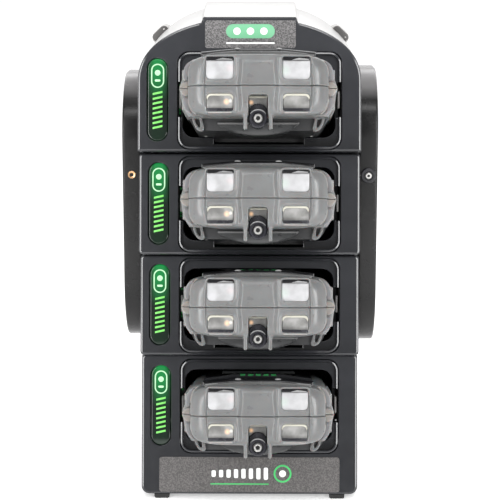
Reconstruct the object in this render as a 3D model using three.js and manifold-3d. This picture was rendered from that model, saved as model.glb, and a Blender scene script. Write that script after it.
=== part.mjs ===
// Four-bay charging tower with four docked portable gas detectors.
//
// Units are millimetres, +Z is up, -Y is the front and +X is to the right of someone facing the front.
// The bays stand one above another. Each bay, with its front frame and its detector, leans back by TILT,
// so that a docked detector rests against the bottom of its bay under its own weight. Everything that
// leans is drawn in a bay frame: y = 0 is the front face, z = 0 the lower edge of that face.
// The finished group is moved so that its origin is the bottom centre of its bounding box.

import * as THREE from "three";
import { mergeVertices } from "three/addons/utils/BufferGeometryUtils.js";
import Module from "manifold-3d";

const wasm = await Module();
wasm.setup();

// ---- driving dimensions ----------------------------------------------------------------------------

const GAP = 0.3; // air between separate pieces that touch on the real object
const TILT = THREE.MathUtils.degToRad(11.5); // lean of the bays
const BODY_W = 133.4; // width of the frames and of the rear housing
const PITCH = 62.5; // bay to bay, straight up
const BASE_PITCH = 63.8; // lowest bay to the next one
const FOOT_H = 3;
const FOOT_FRONT = -3.6; // both ends of a foot, from the front lips
const FOOT_BACK = 134;
const LIP_Z = 90.2; // lower edge of the second frame above the table
const FRAME_BACK = 26; // plane where the frames meet the rear housing
const REAR = 142; // back of the rear housing
const WALL = 2.6; // wall of the rear housing and of the top shell
const FACE = 5.4; // thickness of the front of each frame
const RIM = 1.6; // upper and lower wall of the frames
const PAN_TOP = FOOT_H + 4; // upper side of the floor pan

// Bay: a shallow recess round an opening, both off centre to leave room for the status light.
const BAY = { x: 6, z: 30.4, w: 97.2, h: 57.6, r: 7, recess: 2.6 };
const OPENING = { x: 5.6, z: 30.75, w: 91, h: 44.2, r: 7 };
const CLIP_SLOT = { w: 53.5, h: 3.8 }; // notch under the opening, for the belt clip
const SIDE_NOTCH = { z: 31, w: 99, h: 21, depth: 9 }; // notches beside the opening
const TUNNEL = { wall: 2.2, end: 97 };

// Arch of the top frame: straight sides, an elliptical crown and a raised flat block in the middle.
// An ease below 1 squares the ellipse a little.
const ARCH = { springing: 41.6, rise: 38.3, ease: 0.91, blockHalf: 29, blockTop: 80.5 };
const SHELL = { bottom: 228, rise: 8.5, riseBottom: 250, apexY: 74 };

const LIGHT = { x: -54.7, z: 30.8, w: 12.2, h: 49, depth: 3 };
const BADGE = { x: 0.5, w: 54, h: 16.6, z: 69.8, r: 1.5 };
const NAME_PLATE = { w: 111.2, h: 21.6, z: -11.8, r: 1.5 };
const PLATE = { depth: 1, proud: 0.25 };

// Side covers: rounded plates on both flanks. The left one is a little smaller than the right one.
const MANIFOLD = 14; // solid front part of a side cover, which holds the gas fittings
const COVER = { front: 28, back: 138, z: 172.5, h: 175, corner: 40, backCorner: 54, outerX: 78.4, leftInset: 2.8 };
const PORT_Z = 197;

// Detector, in the bay frame: its two halves part on a level plane.
const DET = { x: OPENING.x, z: 31, front: -75, back: 95, step: -39 };
const KEY = { y: 34, spacing: 17, r: 4.6, flangeR: 5.7, flange: 1.2, bottom: 13.4, top: 20.9, crown: 0.045 };
const CLIP = { w: 48, front: -38, root: 12, back: 58, bottom: -23.6, t: 1.5, seat: -19.3 };
const INLET = { z: -17.8, r: 5, front: -65, back: -52, nippleR: 2.2, nippleOut: 2.5, bore: 1 };

// ---- small toolkit ---------------------------------------------------------------------------------

// A closed three.js geometry as a manifold solid.
function solid(geometry) {
  const bare = geometry.index ? geometry.toNonIndexed() : geometry.clone();
  bare.deleteAttribute("normal");
  bare.deleteAttribute("uv");
  const merged = mergeVertices(bare, 1e-4);
  return new wasm.Manifold(
    new wasm.Mesh({
      numProp: 3,
      vertProperties: merged.attributes.position.array,
      triVerts: new Uint32Array(merged.index.array),
    }),
  );
}

// A manifold solid as a three.js geometry.
function geometryOf(body) {
  const mesh = body.getMesh();
  const points = new Float32Array(mesh.numVert * 3);
  for (let i = 0; i < mesh.numVert; i++) {
    points.set(mesh.vertProperties.subarray(i * mesh.numProp, i * mesh.numProp + 3), i * 3);
  }
  const geometry = new THREE.BufferGeometry();
  geometry.setAttribute("position", new THREE.BufferAttribute(points, 3));
  geometry.setIndex(new THREE.BufferAttribute(new Uint32Array(mesh.triVerts), 1));
  geometry.computeVertexNormals();
  return geometry;
}

// A box between two corners.
function block([x0, y0, z0], [x1, y1, z1]) {
  const box = new THREE.BoxGeometry(x1 - x0, y1 - y0, z1 - z0);
  return solid(box.translate((x0 + x1) / 2, (y0 + y1) / 2, (z0 + z1) / 2));
}

// An outline drawn in the x-z plane, made solid from y0 back to y1.
function slab(outline, y0, y1, curveSegments = 5) {
  const made = new THREE.ExtrudeGeometry(outline, { depth: y1 - y0, bevelEnabled: false, curveSegments });
  return solid(made.rotateX(Math.PI / 2).translate(0, y1, 0));
}

// An outline drawn in the y-z plane, made solid from x0 to x1.
function sidePlate(outline, x0, x1, curveSegments = 8) {
  const made = new THREE.ExtrudeGeometry(outline, { depth: x1 - x0, bevelEnabled: false, curveSegments });
  return solid(made.rotateY(Math.PI / 2).rotateX(Math.PI / 2).translate(x0, 0, 0));
}

// A turned piece: the profile is [radius, distance along +Y from the front] and closes on its axis.
function turned(profile, segments = 16) {
  const made = new THREE.LatheGeometry(profile.map(([r, y]) => new THREE.Vector2(r, y)), segments);
  return solid(made);
}

// A rectangle with round corners; the four radii run from the lower left corner, anticlockwise.
function roundedRect(cx, cz, w, h, radii, Kind = THREE.Shape) {
  const [a, b, c, d] = Array.isArray(radii) ? radii : [radii, radii, radii, radii];
  const [x0, x1, z0, z1] = [cx - w / 2, cx + w / 2, cz - h / 2, cz + h / 2];
  const path = new Kind();
  path.moveTo(x0 + a, z0);
  path.lineTo(x1 - b, z0);
  path.absarc(x1 - b, z0 + b, b, -Math.PI / 2, 0);
  path.lineTo(x1, z1 - c);
  path.absarc(x1 - c, z1 - c, c, 0, Math.PI / 2);
  path.lineTo(x0 + d, z1);
  path.absarc(x0 + d, z1 - d, d, Math.PI / 2, Math.PI);
  path.lineTo(x0, z0 + a);
  path.absarc(x0 + a, z0 + a, a, Math.PI, Math.PI * 1.5);
  return path;
}

// A straight-sided outline through the given points.
function polygon(points) {
  return new THREE.Shape(points.map(([x, z]) => new THREE.Vector2(x, z)));
}

// A skin stretched over rings of points, each ring the same outline at another y, closed by flat ends.
function loft(given) {
  const turnedRound = THREE.ShapeUtils.isClockWise(given[0].map(([x, , z]) => new THREE.Vector2(x, z)));
  const rings = turnedRound ? given.map((ring) => [...ring].reverse()) : given;
  const n = rings[0].length;
  const positions = rings.flatMap((ring) => ring.flatMap((p) => p));
  const index = [];
  for (let k = 0; k + 1 < rings.length; k++) {
    for (let i = 0; i < n; i++) {
      const [a, b] = [k * n + i, k * n + ((i + 1) % n)];
      index.push(a, a + n, b, b, a + n, b + n);
    }
  }
  const outline = rings[0].map(([x, , z]) => new THREE.Vector2(x, z));
  const last = (rings.length - 1) * n;
  for (const [a, b, c] of THREE.ShapeUtils.triangulateShape(outline, [])) {
    index.push(a, b, c, last + a, last + c, last + b);
  }
  const geometry = new THREE.BufferGeometry();
  geometry.setAttribute("position", new THREE.Float32BufferAttribute(positions, 3));
  geometry.setIndex(index);
  return solid(geometry);
}

const BIG = 400;

// ---- materials -------------------------------------------------------------------------------------

function finish(color, roughness, metalness = 0, extra = {}) {
  return new THREE.MeshStandardMaterial({ color, roughness, metalness, ...extra });
}

const MATERIALS = {
  frame: finish(0x2b2d31, 0.35),
  cradle: finish(0x24262b, 0.45),
  housing: finish(0x303135, 0.5),
  cover: finish(0x37383b, 0.42),
  shell: finish(0xe9e8e6, 0.4),
  badge: finish(0x6f6c69, 0.8),
  light: finish(0x0f7a33, 0.3, 0, { emissive: 0x0a5a22 }),
  brass: finish(0xc39a5a, 0.3, 1),
  steel: finish(0xb9bbbd, 0.25, 1),
  rubber: finish(0x1c1c1d, 0.85),
  board: finish(0x1f5a38, 0.6),
  caseGrey: finish(0x77797b, 0.4),
  lens: finish(0x0d0e10, 0.15),
  guide: finish(0xcfd3d4, 0.3),
  inlet: finish(0x2a2b2f, 0.35),
  key: finish(0x3a3c3f, 0.7),
};

const part = new THREE.Group();
part.name = "docked_gas_detectors";

// Adds one named piece to a group.
function piece(group, name, body, material) {
  const mesh = new THREE.Mesh(geometryOf(body), material);
  mesh.name = name;
  group.add(mesh);
}

// ---- bay frames: where each bay stands -------------------------------------------------------------

const BAYS = [
  { key: "base", lip: LIP_Z - BASE_PITCH },
  { key: "lower", lip: LIP_Z },
  { key: "upper", lip: LIP_Z + PITCH },
  { key: "top", lip: LIP_Z + 2 * PITCH },
];
const FACE_H = PITCH * Math.cos(TILT);
const BASE_FACE_H = BASE_PITCH * Math.cos(TILT);

// The bay frame of one bay, as a group and as the matrix that its pieces get.
function leaning(bay) {
  const group = new THREE.Group();
  group.position.set(0, 0, bay.lip);
  group.rotation.x = -TILT;
  group.updateMatrix();
  part.add(group);
  return group;
}

// A body given in the upright frame, moved into a bay frame.
function intoBay(body, group) {
  const m = group.matrix.clone().invert().elements;
  return body.transform(Array.from(m));
}

// ---- front frames ----------------------------------------------------------------------------------

// Outline of the top frame: straight flanks, elliptical shoulders, flat block in the middle.
function archOutline(half, springing, rise, blockHalf, blockTop, bottom, stretch = 1) {
  const outline = new THREE.Shape();
  const z = (v) => v * stretch;
  const shoulder = Math.acos((blockHalf / half) ** (1 / ARCH.ease));
  const steps = 9;
  outline.moveTo(-half, z(bottom));
  outline.lineTo(half, z(bottom));
  for (let i = 0; i <= steps; i++) {
    const t = (shoulder * i) / steps;
    outline.lineTo(half * Math.cos(t) ** ARCH.ease, z(springing + rise * Math.sin(t) ** ARCH.ease));
  }
  outline.lineTo(blockHalf - 1, z(blockTop));
  outline.lineTo(1 - blockHalf, z(blockTop));
  for (let i = steps; i >= 0; i--) {
    const t = (shoulder * i) / steps;
    outline.lineTo(-half * Math.cos(t) ** ARCH.ease, z(springing + rise * Math.sin(t) ** ARCH.ease));
  }
  return outline;
}

// Holes that every front frame has: the bay recess and the slot of the status light.
function frameHoles() {
  return [
    roundedRect(BAY.x, BAY.z, BAY.w + 2 * GAP, BAY.h + 2 * GAP, BAY.r, THREE.Path),
    roundedRect(LIGHT.x, LIGHT.z, LIGHT.w + 2 * GAP, LIGHT.h + 2 * GAP, LIGHT.w / 2 + GAP - 0.01, THREE.Path),
  ];
}

// Pocket for a thin plate glued into the face of a frame.
function platePocket(plate) {
  const outline = roundedRect(plate.x ?? 0, plate.z, plate.w + 2 * GAP, plate.h + 2 * GAP, plate.r);
  return slab(outline, -1, PLATE.depth + GAP, 2);
}

// One front frame: a shell drawn back from its face, cut off upright where the housing starts.
function frontFrame(group, outline, hollowOutline) {
  outline.holes.push(...frameHoles());
  const behind = intoBay(block([-BIG, FRAME_BACK, -BIG], [BIG, BIG, BIG]), group);
  return slab(outline, 0, 60).subtract(slab(hollowOutline, FACE, 90)).subtract(behind);
}

function middleFrame(group) {
  const height = FACE_H - GAP;
  const hollow = roundedRect(0, height / 2, BODY_W - 2 * WALL, height - 2 * RIM, 1);
  return frontFrame(group, roundedRect(0, height / 2, BODY_W, height, [1.8, 1.8, 0.8, 0.8]), hollow);
}

function topFrame(group) {
  const { springing, rise, blockHalf, blockTop } = ARCH;
  const outline = archOutline(BODY_W / 2, springing, rise, blockHalf, blockTop, 0);
  const hollow = archOutline(
    BODY_W / 2 - WALL, springing, rise - WALL, blockHalf - WALL, blockTop - WALL, RIM,
  );
  return frontFrame(group, outline, hollow).subtract(platePocket(BADGE));
}

// The lowest frame also carries the name plate and the floor pan of the tower.
function baseFrame(group) {
  const height = BASE_FACE_H - GAP;
  const bottom = -40;
  const corner = 5;
  const outline = roundedRect(0, (height + bottom) / 2, BODY_W, height - bottom, 0.8);
  const hollow = roundedRect(0, (height + bottom) / 2, BODY_W - 2 * WALL, height - bottom - 2 * RIM, 1);
  const floor = intoBay(block([-BODY_W / 2, -40, FOOT_H], [BODY_W / 2, FRAME_BACK, PAN_TOP]), group)
    .intersect(slab(roundedRect(0, 0, BODY_W, 200, 1), 0, 90));
  const pan = block([-BODY_W / 2, FRAME_BACK - 2, FOOT_H], [BODY_W / 2, REAR, PAN_TOP]);
  const cornerCut = slab(roundedRect(0, FOOT_H + 100, BODY_W, 200, corner), -60, REAR, 4);
  const below = block([-BIG, -BIG, -BIG], [BIG, BIG, FOOT_H]);
  return frontFrame(group, outline, hollow)
    .add(floor)
    .add(intoBay(pan, group))
    .subtract(platePocket(NAME_PLATE))
    .intersect(intoBay(cornerCut, group))
    .subtract(intoBay(below, group));
}

// ---- bay pieces ------------------------------------------------------------------------------------

// Cradle: the flange in the recess, the tunnel that guides the detector, and the contact block at its end.
function cradle() {
  const flangeOutline = roundedRect(BAY.x, BAY.z, BAY.w, BAY.h, BAY.r);
  const flange = slab(flangeOutline, BAY.recess, BAY.recess + 2.4);
  const { wall, end } = TUNNEL;
  const outer = roundedRect(OPENING.x, OPENING.z, OPENING.w + 2 * wall, OPENING.h + 2 * wall, OPENING.r + wall);
  const inner = roundedRect(OPENING.x, OPENING.z, OPENING.w, OPENING.h, OPENING.r);
  const slotZ = OPENING.z - OPENING.h / 2;
  const slotHalf = CLIP_SLOT.w / 2;
  const slotCover = block(
    [OPENING.x - slotHalf - wall, BAY.recess, slotZ - CLIP_SLOT.h - 1.6],
    [OPENING.x + slotHalf + wall, end, slotZ],
  );
  const slot = block(
    [OPENING.x - slotHalf, -1, slotZ - CLIP_SLOT.h],
    [OPENING.x + slotHalf, end - wall, slotZ + 1],
  );
  const notchHalf = SIDE_NOTCH.w / 2;
  const notch = block(
    [BAY.x - notchHalf, -1, SIDE_NOTCH.z - SIDE_NOTCH.h / 2],
    [BAY.x + notchHalf, BAY.recess + SIDE_NOTCH.depth, SIDE_NOTCH.z + SIDE_NOTCH.h / 2],
  );
  const contacts = block(
    [OPENING.x - 14, end - 1.4, OPENING.z - 8],
    [OPENING.x + 14, end + 1, OPENING.z + 2],
  );
  return flange
    .add(slab(outer, BAY.recess, end + wall))
    .add(slotCover)
    .subtract(slab(inner, -1, end))
    .subtract(slot)
    .subtract(notch)
    .add(contacts);
}

// Status light: the lit window in the left of each frame.
function statusLight() {
  return slab(roundedRect(LIGHT.x, LIGHT.z, LIGHT.w, LIGHT.h, LIGHT.w / 2 - 0.01), 0.5, 0.5 + LIGHT.depth);
}

function thinPlate(plate) {
  const outline = roundedRect(plate.x ?? 0, plate.z, plate.w, plate.h, plate.r);
  return slab(outline, -PLATE.proud, PLATE.depth, 2);
}

// ---- upright housing -------------------------------------------------------------------------------

// Rear housing: a channel with a floor, open to the frames in front and to the top shell above.
function rearHousing() {
  const half = BODY_W / 2;
  const floor = PAN_TOP + GAP;
  const outer = block([-half, FRAME_BACK + GAP, floor], [half, REAR, SHELL.bottom]);
  const inner = block([WALL - half, 0, floor + WALL], [half - WALL, REAR - WALL, BIG]);
  const jackHole = turned([[0, 0], [JACK.r + GAP, 0], [JACK.r + GAP, 20], [0, 20]], 16)
    .translate([JACK.x, REAR - 10, JACK.z]);
  return outer.subtract(inner).subtract(jackHole);
}

const JACK = { x: -40, z: 26, r: 5.4, flangeR: 7.4, bore: 3.1, pin: 1, length: 12 };

// Power inlet: a barrel socket with a flange on the outside of the back wall.
function powerJack() {
  const { r, flangeR, bore, pin, length } = JACK;
  const profile = [
    [0, 0], [r, 0], [r, length], [flangeR, length], [flangeR, length + 1.6], [bore, length + 1.6],
    [bore, 3], [pin, 3], [pin, length], [0, length],
  ];
  return turned(profile, 16).translate([JACK.x, REAR + GAP - length, JACK.z]);
}

function backplane() {
  return block([-48, 113, 12], [48, 114.6, 232]);
}

// How far the top shell lifts at (y, z): it swells in a low arc from front to back, least at the flanks.
function shellLift(y, z) {
  const along = 1 - ((y - SHELL.apexY) / (SHELL.apexY - FRAME_BACK)) ** 2;
  const share = Math.max(0, (z - SHELL.riseBottom) / (crownZ() - SHELL.riseBottom));
  return SHELL.rise * along * share;
}

// Height of the block on the arch where the frames end, in the upright frame.
function crownZ() {
  return upright(ARCH.blockTop);
}

// Height in the upright frame of a point on the back of the top frame.
function upright(z) {
  return BAYS[3].lip + z / Math.cos(TILT) - FRAME_BACK * Math.tan(TILT);
}

// The arch drawn back from y0 to y1, inset by a wall, swelling as shellLift says.
function archBody(inset, y0, y1) {
  const base = BAYS[3].lip - FRAME_BACK * Math.tan(TILT);
  const outline = archOutline(
    BODY_W / 2 - inset, ARCH.springing, ARCH.rise - inset, ARCH.blockHalf - inset,
    ARCH.blockTop - inset, (SHELL.bottom - base) * Math.cos(TILT), 1 / Math.cos(TILT),
  );
  const made = new THREE.ExtrudeGeometry(outline, { depth: y1 - y0, bevelEnabled: false, steps: 8 });
  made.rotateX(Math.PI / 2).translate(0, y1, base);
  const points = made.attributes.position;
  for (let i = 0; i < points.count; i++) {
    points.setZ(i, points.getZ(i) + shellLift(points.getY(i), points.getZ(i)));
  }
  return solid(made);
}

// Raised hood on each shoulder of the shell.
const HOOD = { x: 55.4, z: 280.6, y: 60, length: 24, w: 13, h: 9, angle: THREE.MathUtils.degToRad(44) };

function hood(side) {
  const outline = roundedRect(0, 0, HOOD.w, HOOD.h, [0.5, 0.5, 2.4, 2.4]);
  const turn = THREE.MathUtils.radToDeg(HOOD.angle) * side;
  return slab(outline, 0, HOOD.length, 3)
    .rotate([0, turn, 0])
    .translate([side * HOOD.x, HOOD.y, HOOD.z]);
}

function topShell() {
  const outer = archBody(0, FRAME_BACK + GAP, REAR);
  const inner = archBody(WALL, 0, REAR - WALL);
  const open = block([WALL - BODY_W / 2, 0, SHELL.bottom - 5], [BODY_W / 2 - WALL, REAR - WALL, SHELL.bottom + 5]);
  const lifted = outer.add(hood(1)).add(hood(-1));
  return lifted
    .subtract(inner)
    .subtract(open)
    .subtract(block([-BIG, -BIG, -BIG], [BIG, BIG, SHELL.bottom + GAP]));
}

// Side cover on one flank: side is +1 for the right, -1 for the left.
function sideCover(side) {
  const inset = side < 0 ? COVER.leftInset : 0;
  const [y0, y1] = [COVER.front + inset / 2, COVER.back - inset];
  const radii = [COVER.corner, COVER.backCorner, COVER.backCorner, COVER.corner];
  const height = COVER.h - 2 * inset;
  const outline = roundedRect((y0 + y1) / 2, COVER.z, y1 - y0, height, radii);
  const [z0, z1] = [y0 + MANIFOLD, y1 - WALL];
  const hollow = roundedRect((z0 + z1) / 2, COVER.z, z1 - z0, height - 2 * MANIFOLD, COVER.corner);
  const [x0, x1] = [BODY_W / 2 + GAP, COVER.outerX];
  const full = side > 0 ? sidePlate(outline, x0, x1) : sidePlate(outline, -x1, -x0);
  const plate = full.subtract(
    side > 0 ? sidePlate(hollow, x0 - 1, x1 - WALL, 4) : sidePlate(hollow, WALL - x1, 1 - x0, 4),
  );
  const bore = side > 0 ? OUTLET.stem + GAP : INSERT.r + 0.2;
  const hole = turned([[0, -20], [bore, -20], [bore, 10], [0, 10]], 16)
    .translate([side * PORT_X, y0, PORT_Z]);
  return plate.subtract(hole);
}

const PORT_X = (BODY_W / 2 + GAP + COVER.outerX) / 2;
const INSERT = { r: 2.5, bore: 1.2, length: 9 };
const OUTLET = { flangeR: 4.7, stem: 3, nippleR: 1.9, bore: 0.9 };

// Brass gas inlet pressed into the front edge of the left cover.
function gasInletInsert() {
  const { r, bore, length } = INSERT;
  return turned([[bore, 0], [r, 0], [r, length], [0, length], [0, 6], [bore, 6], [bore, 0]], 16)
    .translate([-PORT_X, COVER.front + COVER.leftInset / 2 - 0.4, PORT_Z]);
}

// Gas outlet on the front edge of the right cover: a flanged boss with a hollow nipple.
function gasOutletPort() {
  const { flangeR, stem, nippleR, bore } = OUTLET;
  const profile = [
    [bore, -2.6], [nippleR, -2.6], [nippleR, -0.9], [3.1, -0.9], [3.1, -1.8], [flangeR, -1.8],
    [flangeR, -GAP], [stem, -GAP], [stem, 9], [0, 9], [0, 4], [bore, 4], [bore, -2.6],
  ];
  return turned(profile, 16).translate([PORT_X, COVER.front, PORT_Z]);
}

function foot(side) {
  const outline = roundedRect(side * 54, (FOOT_H - GAP) / 2, 10, FOOT_H - GAP, [1.2, 1.2, 0.3, 0.3]);
  return slab(outline, FOOT_FRONT, FOOT_BACK, 2);
}

// ---- detector --------------------------------------------------------------------------------------

// Half outlines of the two case halves, from the parting plane round to the middle.
const UPPER_HALF = [[44.2, 0.15], [44.2, 3], [42.4, 6.5], [41.6, 12], [38.6, 16], [33, 17.6], [13, 20.6]];
const LOWER_HALF = [[44.2, -0.15], [44.2, -3], [42.4, -6.5], [41.2, -12], [38.4, -18], [34, -21.6], [13, -21.6]];

// Stations along the detector: y, width share and height share.
const STATIONS = [
  [DET.front - 1, 0.78, 0.74], [-73.4, 0.845, 0.9], [-69, 0.872, 0.98], [-61, 0.885, 1],
  [-57, 0.985, 1], [-52, 1, 1], [89, 1, 1], [DET.back, 0.95, 0.93],
];

// A ring of the case outline at one station.
function ring(half, [y, wide, high]) {
  const right = half.map(([x, z]) => [x * wide, y, Math.abs(z) < 1 ? z : z * high]);
  const left = right.map(([x, yy, z]) => [-x, yy, z]).reverse();
  return [...right, ...left];
}

function caseBody(half) {
  return loft(STATIONS.map((station) => ring(half, station)));
}

// The windows in the nose of the detector, one box for each, grown by a margin.
const WINDOWS = [
  { x: 20.5, z0: 3.5, z1: 15.8, w: 15.3 },
  { x: 20.5, z0: -15, z1: -4.4, w: 14.5 },
];

function windowBoxes(half, margin, y0, y1) {
  return [-1, 1].map((side) =>
    block(
      [side * half.x - half.w / 2 - margin, y0, half.z0 - margin],
      [side * half.x + half.w / 2 + margin, y1, half.z1 + margin],
    ),
  );
}

function union(bodies) {
  return bodies.reduce((all, body) => all.add(body));
}

// Key positions across the case, with the height that the crowned case has there.
function keyPlaces() {
  return [["left", -KEY.spacing], ["middle", 0], ["right", KEY.spacing]].map(([name, x]) => ({
    name,
    x,
    top: KEY.top - KEY.crown * Math.abs(x),
  }));
}

const SCREEN_HALF = [[31, 16.7], [13, 19.4]];
const SCREEN = { y0: -67, y1: 18, t: 1.15 };

// The outline of the screen seat, raised by dz and pulled in at the ends.
function screenOutline(dz, top, pull) {
  const lower = SCREEN_HALF.map(([x, z]) => [x === 31 ? x - pull : x, z + dz]);
  const upper = lower.map(([x, z]) => [x, top ?? z + SCREEN.t]).reverse();
  const right = [...lower.reverse(), ...upper.reverse()];
  const left = right.map(([x, z]) => [-x, z]).reverse();
  return polygon([...right, ...left]);
}

function frontCase() {
  const hollow = block([-36, -52, -1], [36, 88, 15]).add(block([-31, -70, -1], [31, -50, 13.4]));
  const screenSeat = slab(screenOutline(0, 30, 0), SCREEN.y0 - GAP, SCREEN.y1 + GAP, 1);
  const keyHoles = keyPlaces().map(({ x }) =>
    turned([[0, 10], [KEY.r + GAP, 10], [KEY.r + GAP, 30], [0, 30]], 12)
      .rotate([90, 0, 0]).translate([x, KEY.y, 0]),
  );
  const windows = windowBoxes(WINDOWS[0], 0, -90, -59.7);
  return caseBody(UPPER_HALF)
    .subtract(hollow)
    .subtract(screenSeat)
    .subtract(union(keyHoles))
    .subtract(union(windows));
}

function rearCase() {
  const hollow = block([-36, -52, -16], [36, 88, 1]).add(block([-31, -70, -14.6], [31, -50, 1]));
  const nose = block([-BIG, -BIG, -40], [BIG, DET.step, -18]);
  const clipSeat = block([-CLIP.w / 2 - 2, DET.step - 1, -40], [CLIP.w / 2 + 2, BIG, CLIP.seat]);
  const inletSlot = block([-5.6, -90, -40], [5.6, -50, -4.4]);
  const prongs = [-1, 1].map((side) => block([side * 6.9 - 1.2, -70, -23], [side * 6.9 + 1.2, -58, -15]));
  const windows = windowBoxes(WINDOWS[1], 0, -90, -59.7);
  return caseBody(LOWER_HALF)
    .subtract(hollow)
    .subtract(nose)
    .subtract(clipSeat)
    .add(union(prongs))
    .subtract(inletSlot)
    .subtract(union(windows));
}

function screen() {
  return slab(screenOutline(GAP, null, GAP), SCREEN.y0, SCREEN.y1, 1);
}

// Light guide: the inner block that carries the electronics and fills the four windows of the nose.
function lightGuide() {
  const core = block([-35.5, -51.5, -15.6], [35.5, 87.5, 12]).add(block([-30.6, -67.5, -14.2], [30.6, -50, 12]));
  const pads = WINDOWS.flatMap((half) => windowBoxes(half, -GAP, -71.5, -60));
  const aroundInlet = block([-6.2, -90, -40], [6.2, -49, -3]);
  return core.add(union(pads)).subtract(aroundInlet);
}

function pumpInlet() {
  const { r, front, back, nippleR, nippleOut, bore } = INLET;
  const tip = front - nippleOut;
  return turned(
    [[bore, tip], [nippleR, tip], [nippleR, front], [r, front], [r, back], [0, back], [0, tip + 4], [bore, tip + 4],
      [bore, tip]],
    16,
  ).translate([0, 0, INLET.z]);
}

function beltClip() {
  const half = CLIP.w / 2;
  const leaf = new THREE.Shape();
  leaf.moveTo(-half, CLIP.front + 9);
  leaf.quadraticCurveTo(0, CLIP.front - 9, half, CLIP.front + 9);
  leaf.lineTo(half, CLIP.back - 8);
  leaf.quadraticCurveTo(half, CLIP.back, half - 8, CLIP.back);
  leaf.lineTo(8 - half, CLIP.back);
  leaf.quadraticCurveTo(-half, CLIP.back, -half, CLIP.back - 8);
  const plate = new THREE.ExtrudeGeometry(leaf, { depth: CLIP.t, bevelEnabled: false, curveSegments: 8 });
  const body = solid(plate).translate([0, 0, CLIP.bottom]);
  const root = block([-15, CLIP.front + 6, CLIP.bottom + 0.5], [15, CLIP.front + 6 + CLIP.root, CLIP.seat - GAP]);
  return body.add(root);
}

function key(place) {
  const { r, flangeR, flange, bottom } = KEY;
  return turned(
    [[0, bottom], [flangeR, bottom], [flangeR, bottom + flange], [r, bottom + flange], [r, place.top - 0.4],
      [r - 0.6, place.top], [0, place.top]],
    12,
  ).rotate([90, 0, 0]).translate([place.x, KEY.y, 0]);
}

function detector(bayGroup, name) {
  const group = new THREE.Group();
  group.position.set(DET.x, 0, DET.z);
  bayGroup.add(group);
  piece(group, `${name}_front_case`, frontCase(), MATERIALS.caseGrey);
  piece(group, `${name}_rear_case`, rearCase(), MATERIALS.caseGrey);
  piece(group, `${name}_screen`, screen(), MATERIALS.lens);
  piece(group, `${name}_light_guide`, lightGuide(), MATERIALS.guide);
  piece(group, `${name}_pump_inlet`, pumpInlet(), MATERIALS.inlet);
  piece(group, `${name}_belt_clip`, beltClip(), MATERIALS.steel);
  for (const place of keyPlaces()) {
    piece(group, `${name}_${place.name}_key`, key(place), MATERIALS.key);
  }
}

// ---- assembly --------------------------------------------------------------------------------------

const FRAME_MAKERS = { base: baseFrame, lower: middleFrame, upper: middleFrame, top: topFrame };

BAYS.forEach((bay) => {
  const group = leaning(bay);
  piece(group, `${bay.key}_frame`, FRAME_MAKERS[bay.key](group), MATERIALS.frame);
  piece(group, `${bay.key}_cradle`, cradle(), MATERIALS.cradle);
  piece(group, `${bay.key}_status_light`, statusLight(), MATERIALS.light);
  if (bay.key === "top") piece(group, "top_badge", thinPlate(BADGE), MATERIALS.badge);
  if (bay.key === "base") piece(group, "name_plate", thinPlate(NAME_PLATE), MATERIALS.badge);
  detector(group, `${bay.key}_detector`);
});

piece(part, "rear_housing", rearHousing(), MATERIALS.housing);
piece(part, "top_shell", topShell(), MATERIALS.shell);
piece(part, "left_side_cover", sideCover(-1), MATERIALS.cover);
piece(part, "right_side_cover", sideCover(1), MATERIALS.cover);
piece(part, "gas_inlet_insert", gasInletInsert(), MATERIALS.brass);
piece(part, "gas_outlet_port", gasOutletPort(), MATERIALS.inlet);
piece(part, "charging_board", backplane(), MATERIALS.board);
piece(part, "power_jack", powerJack(), MATERIALS.inlet);
piece(part, "left_foot", foot(-1), MATERIALS.rubber);
piece(part, "right_foot", foot(1), MATERIALS.rubber);

// The origin is the bottom centre of the bounding box.
part.updateMatrixWorld(true);
const bounds = new THREE.Box3().setFromObject(part, true);
part.position.set(-(bounds.min.x + bounds.max.x) / 2, -(bounds.min.y + bounds.max.y) / 2, -bounds.min.z);

export default part;
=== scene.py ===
"""Looks for the four-bay charging tower with its four docked gas detectors.

Shapes are drawn in millimetres in a local frame and placed in metres. The bay frame has y = 0 on the front
face of a bay and z = 0 on that face's lower edge; the detector frame has z = 0 on the parting plane of the
case. Both lean back by TILT in the row frame.
"""

import math

import bmesh
import bpy
import numpy as np
from mathutils import Matrix, Vector


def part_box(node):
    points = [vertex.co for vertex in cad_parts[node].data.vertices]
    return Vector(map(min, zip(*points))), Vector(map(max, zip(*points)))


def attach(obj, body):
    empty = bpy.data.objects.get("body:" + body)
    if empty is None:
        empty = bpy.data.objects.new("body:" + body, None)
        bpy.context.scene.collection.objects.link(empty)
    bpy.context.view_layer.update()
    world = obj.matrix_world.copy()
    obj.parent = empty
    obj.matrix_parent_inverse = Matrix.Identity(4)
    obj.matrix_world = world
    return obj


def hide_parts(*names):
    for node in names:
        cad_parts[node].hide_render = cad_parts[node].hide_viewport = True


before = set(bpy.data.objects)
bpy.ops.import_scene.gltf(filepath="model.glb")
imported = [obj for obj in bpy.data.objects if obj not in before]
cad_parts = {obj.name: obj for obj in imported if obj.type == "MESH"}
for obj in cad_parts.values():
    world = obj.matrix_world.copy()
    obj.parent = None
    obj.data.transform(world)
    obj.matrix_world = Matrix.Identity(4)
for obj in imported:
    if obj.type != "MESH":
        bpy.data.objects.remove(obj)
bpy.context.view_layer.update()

# ---- sizes, in millimetres, as in the design ----

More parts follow.
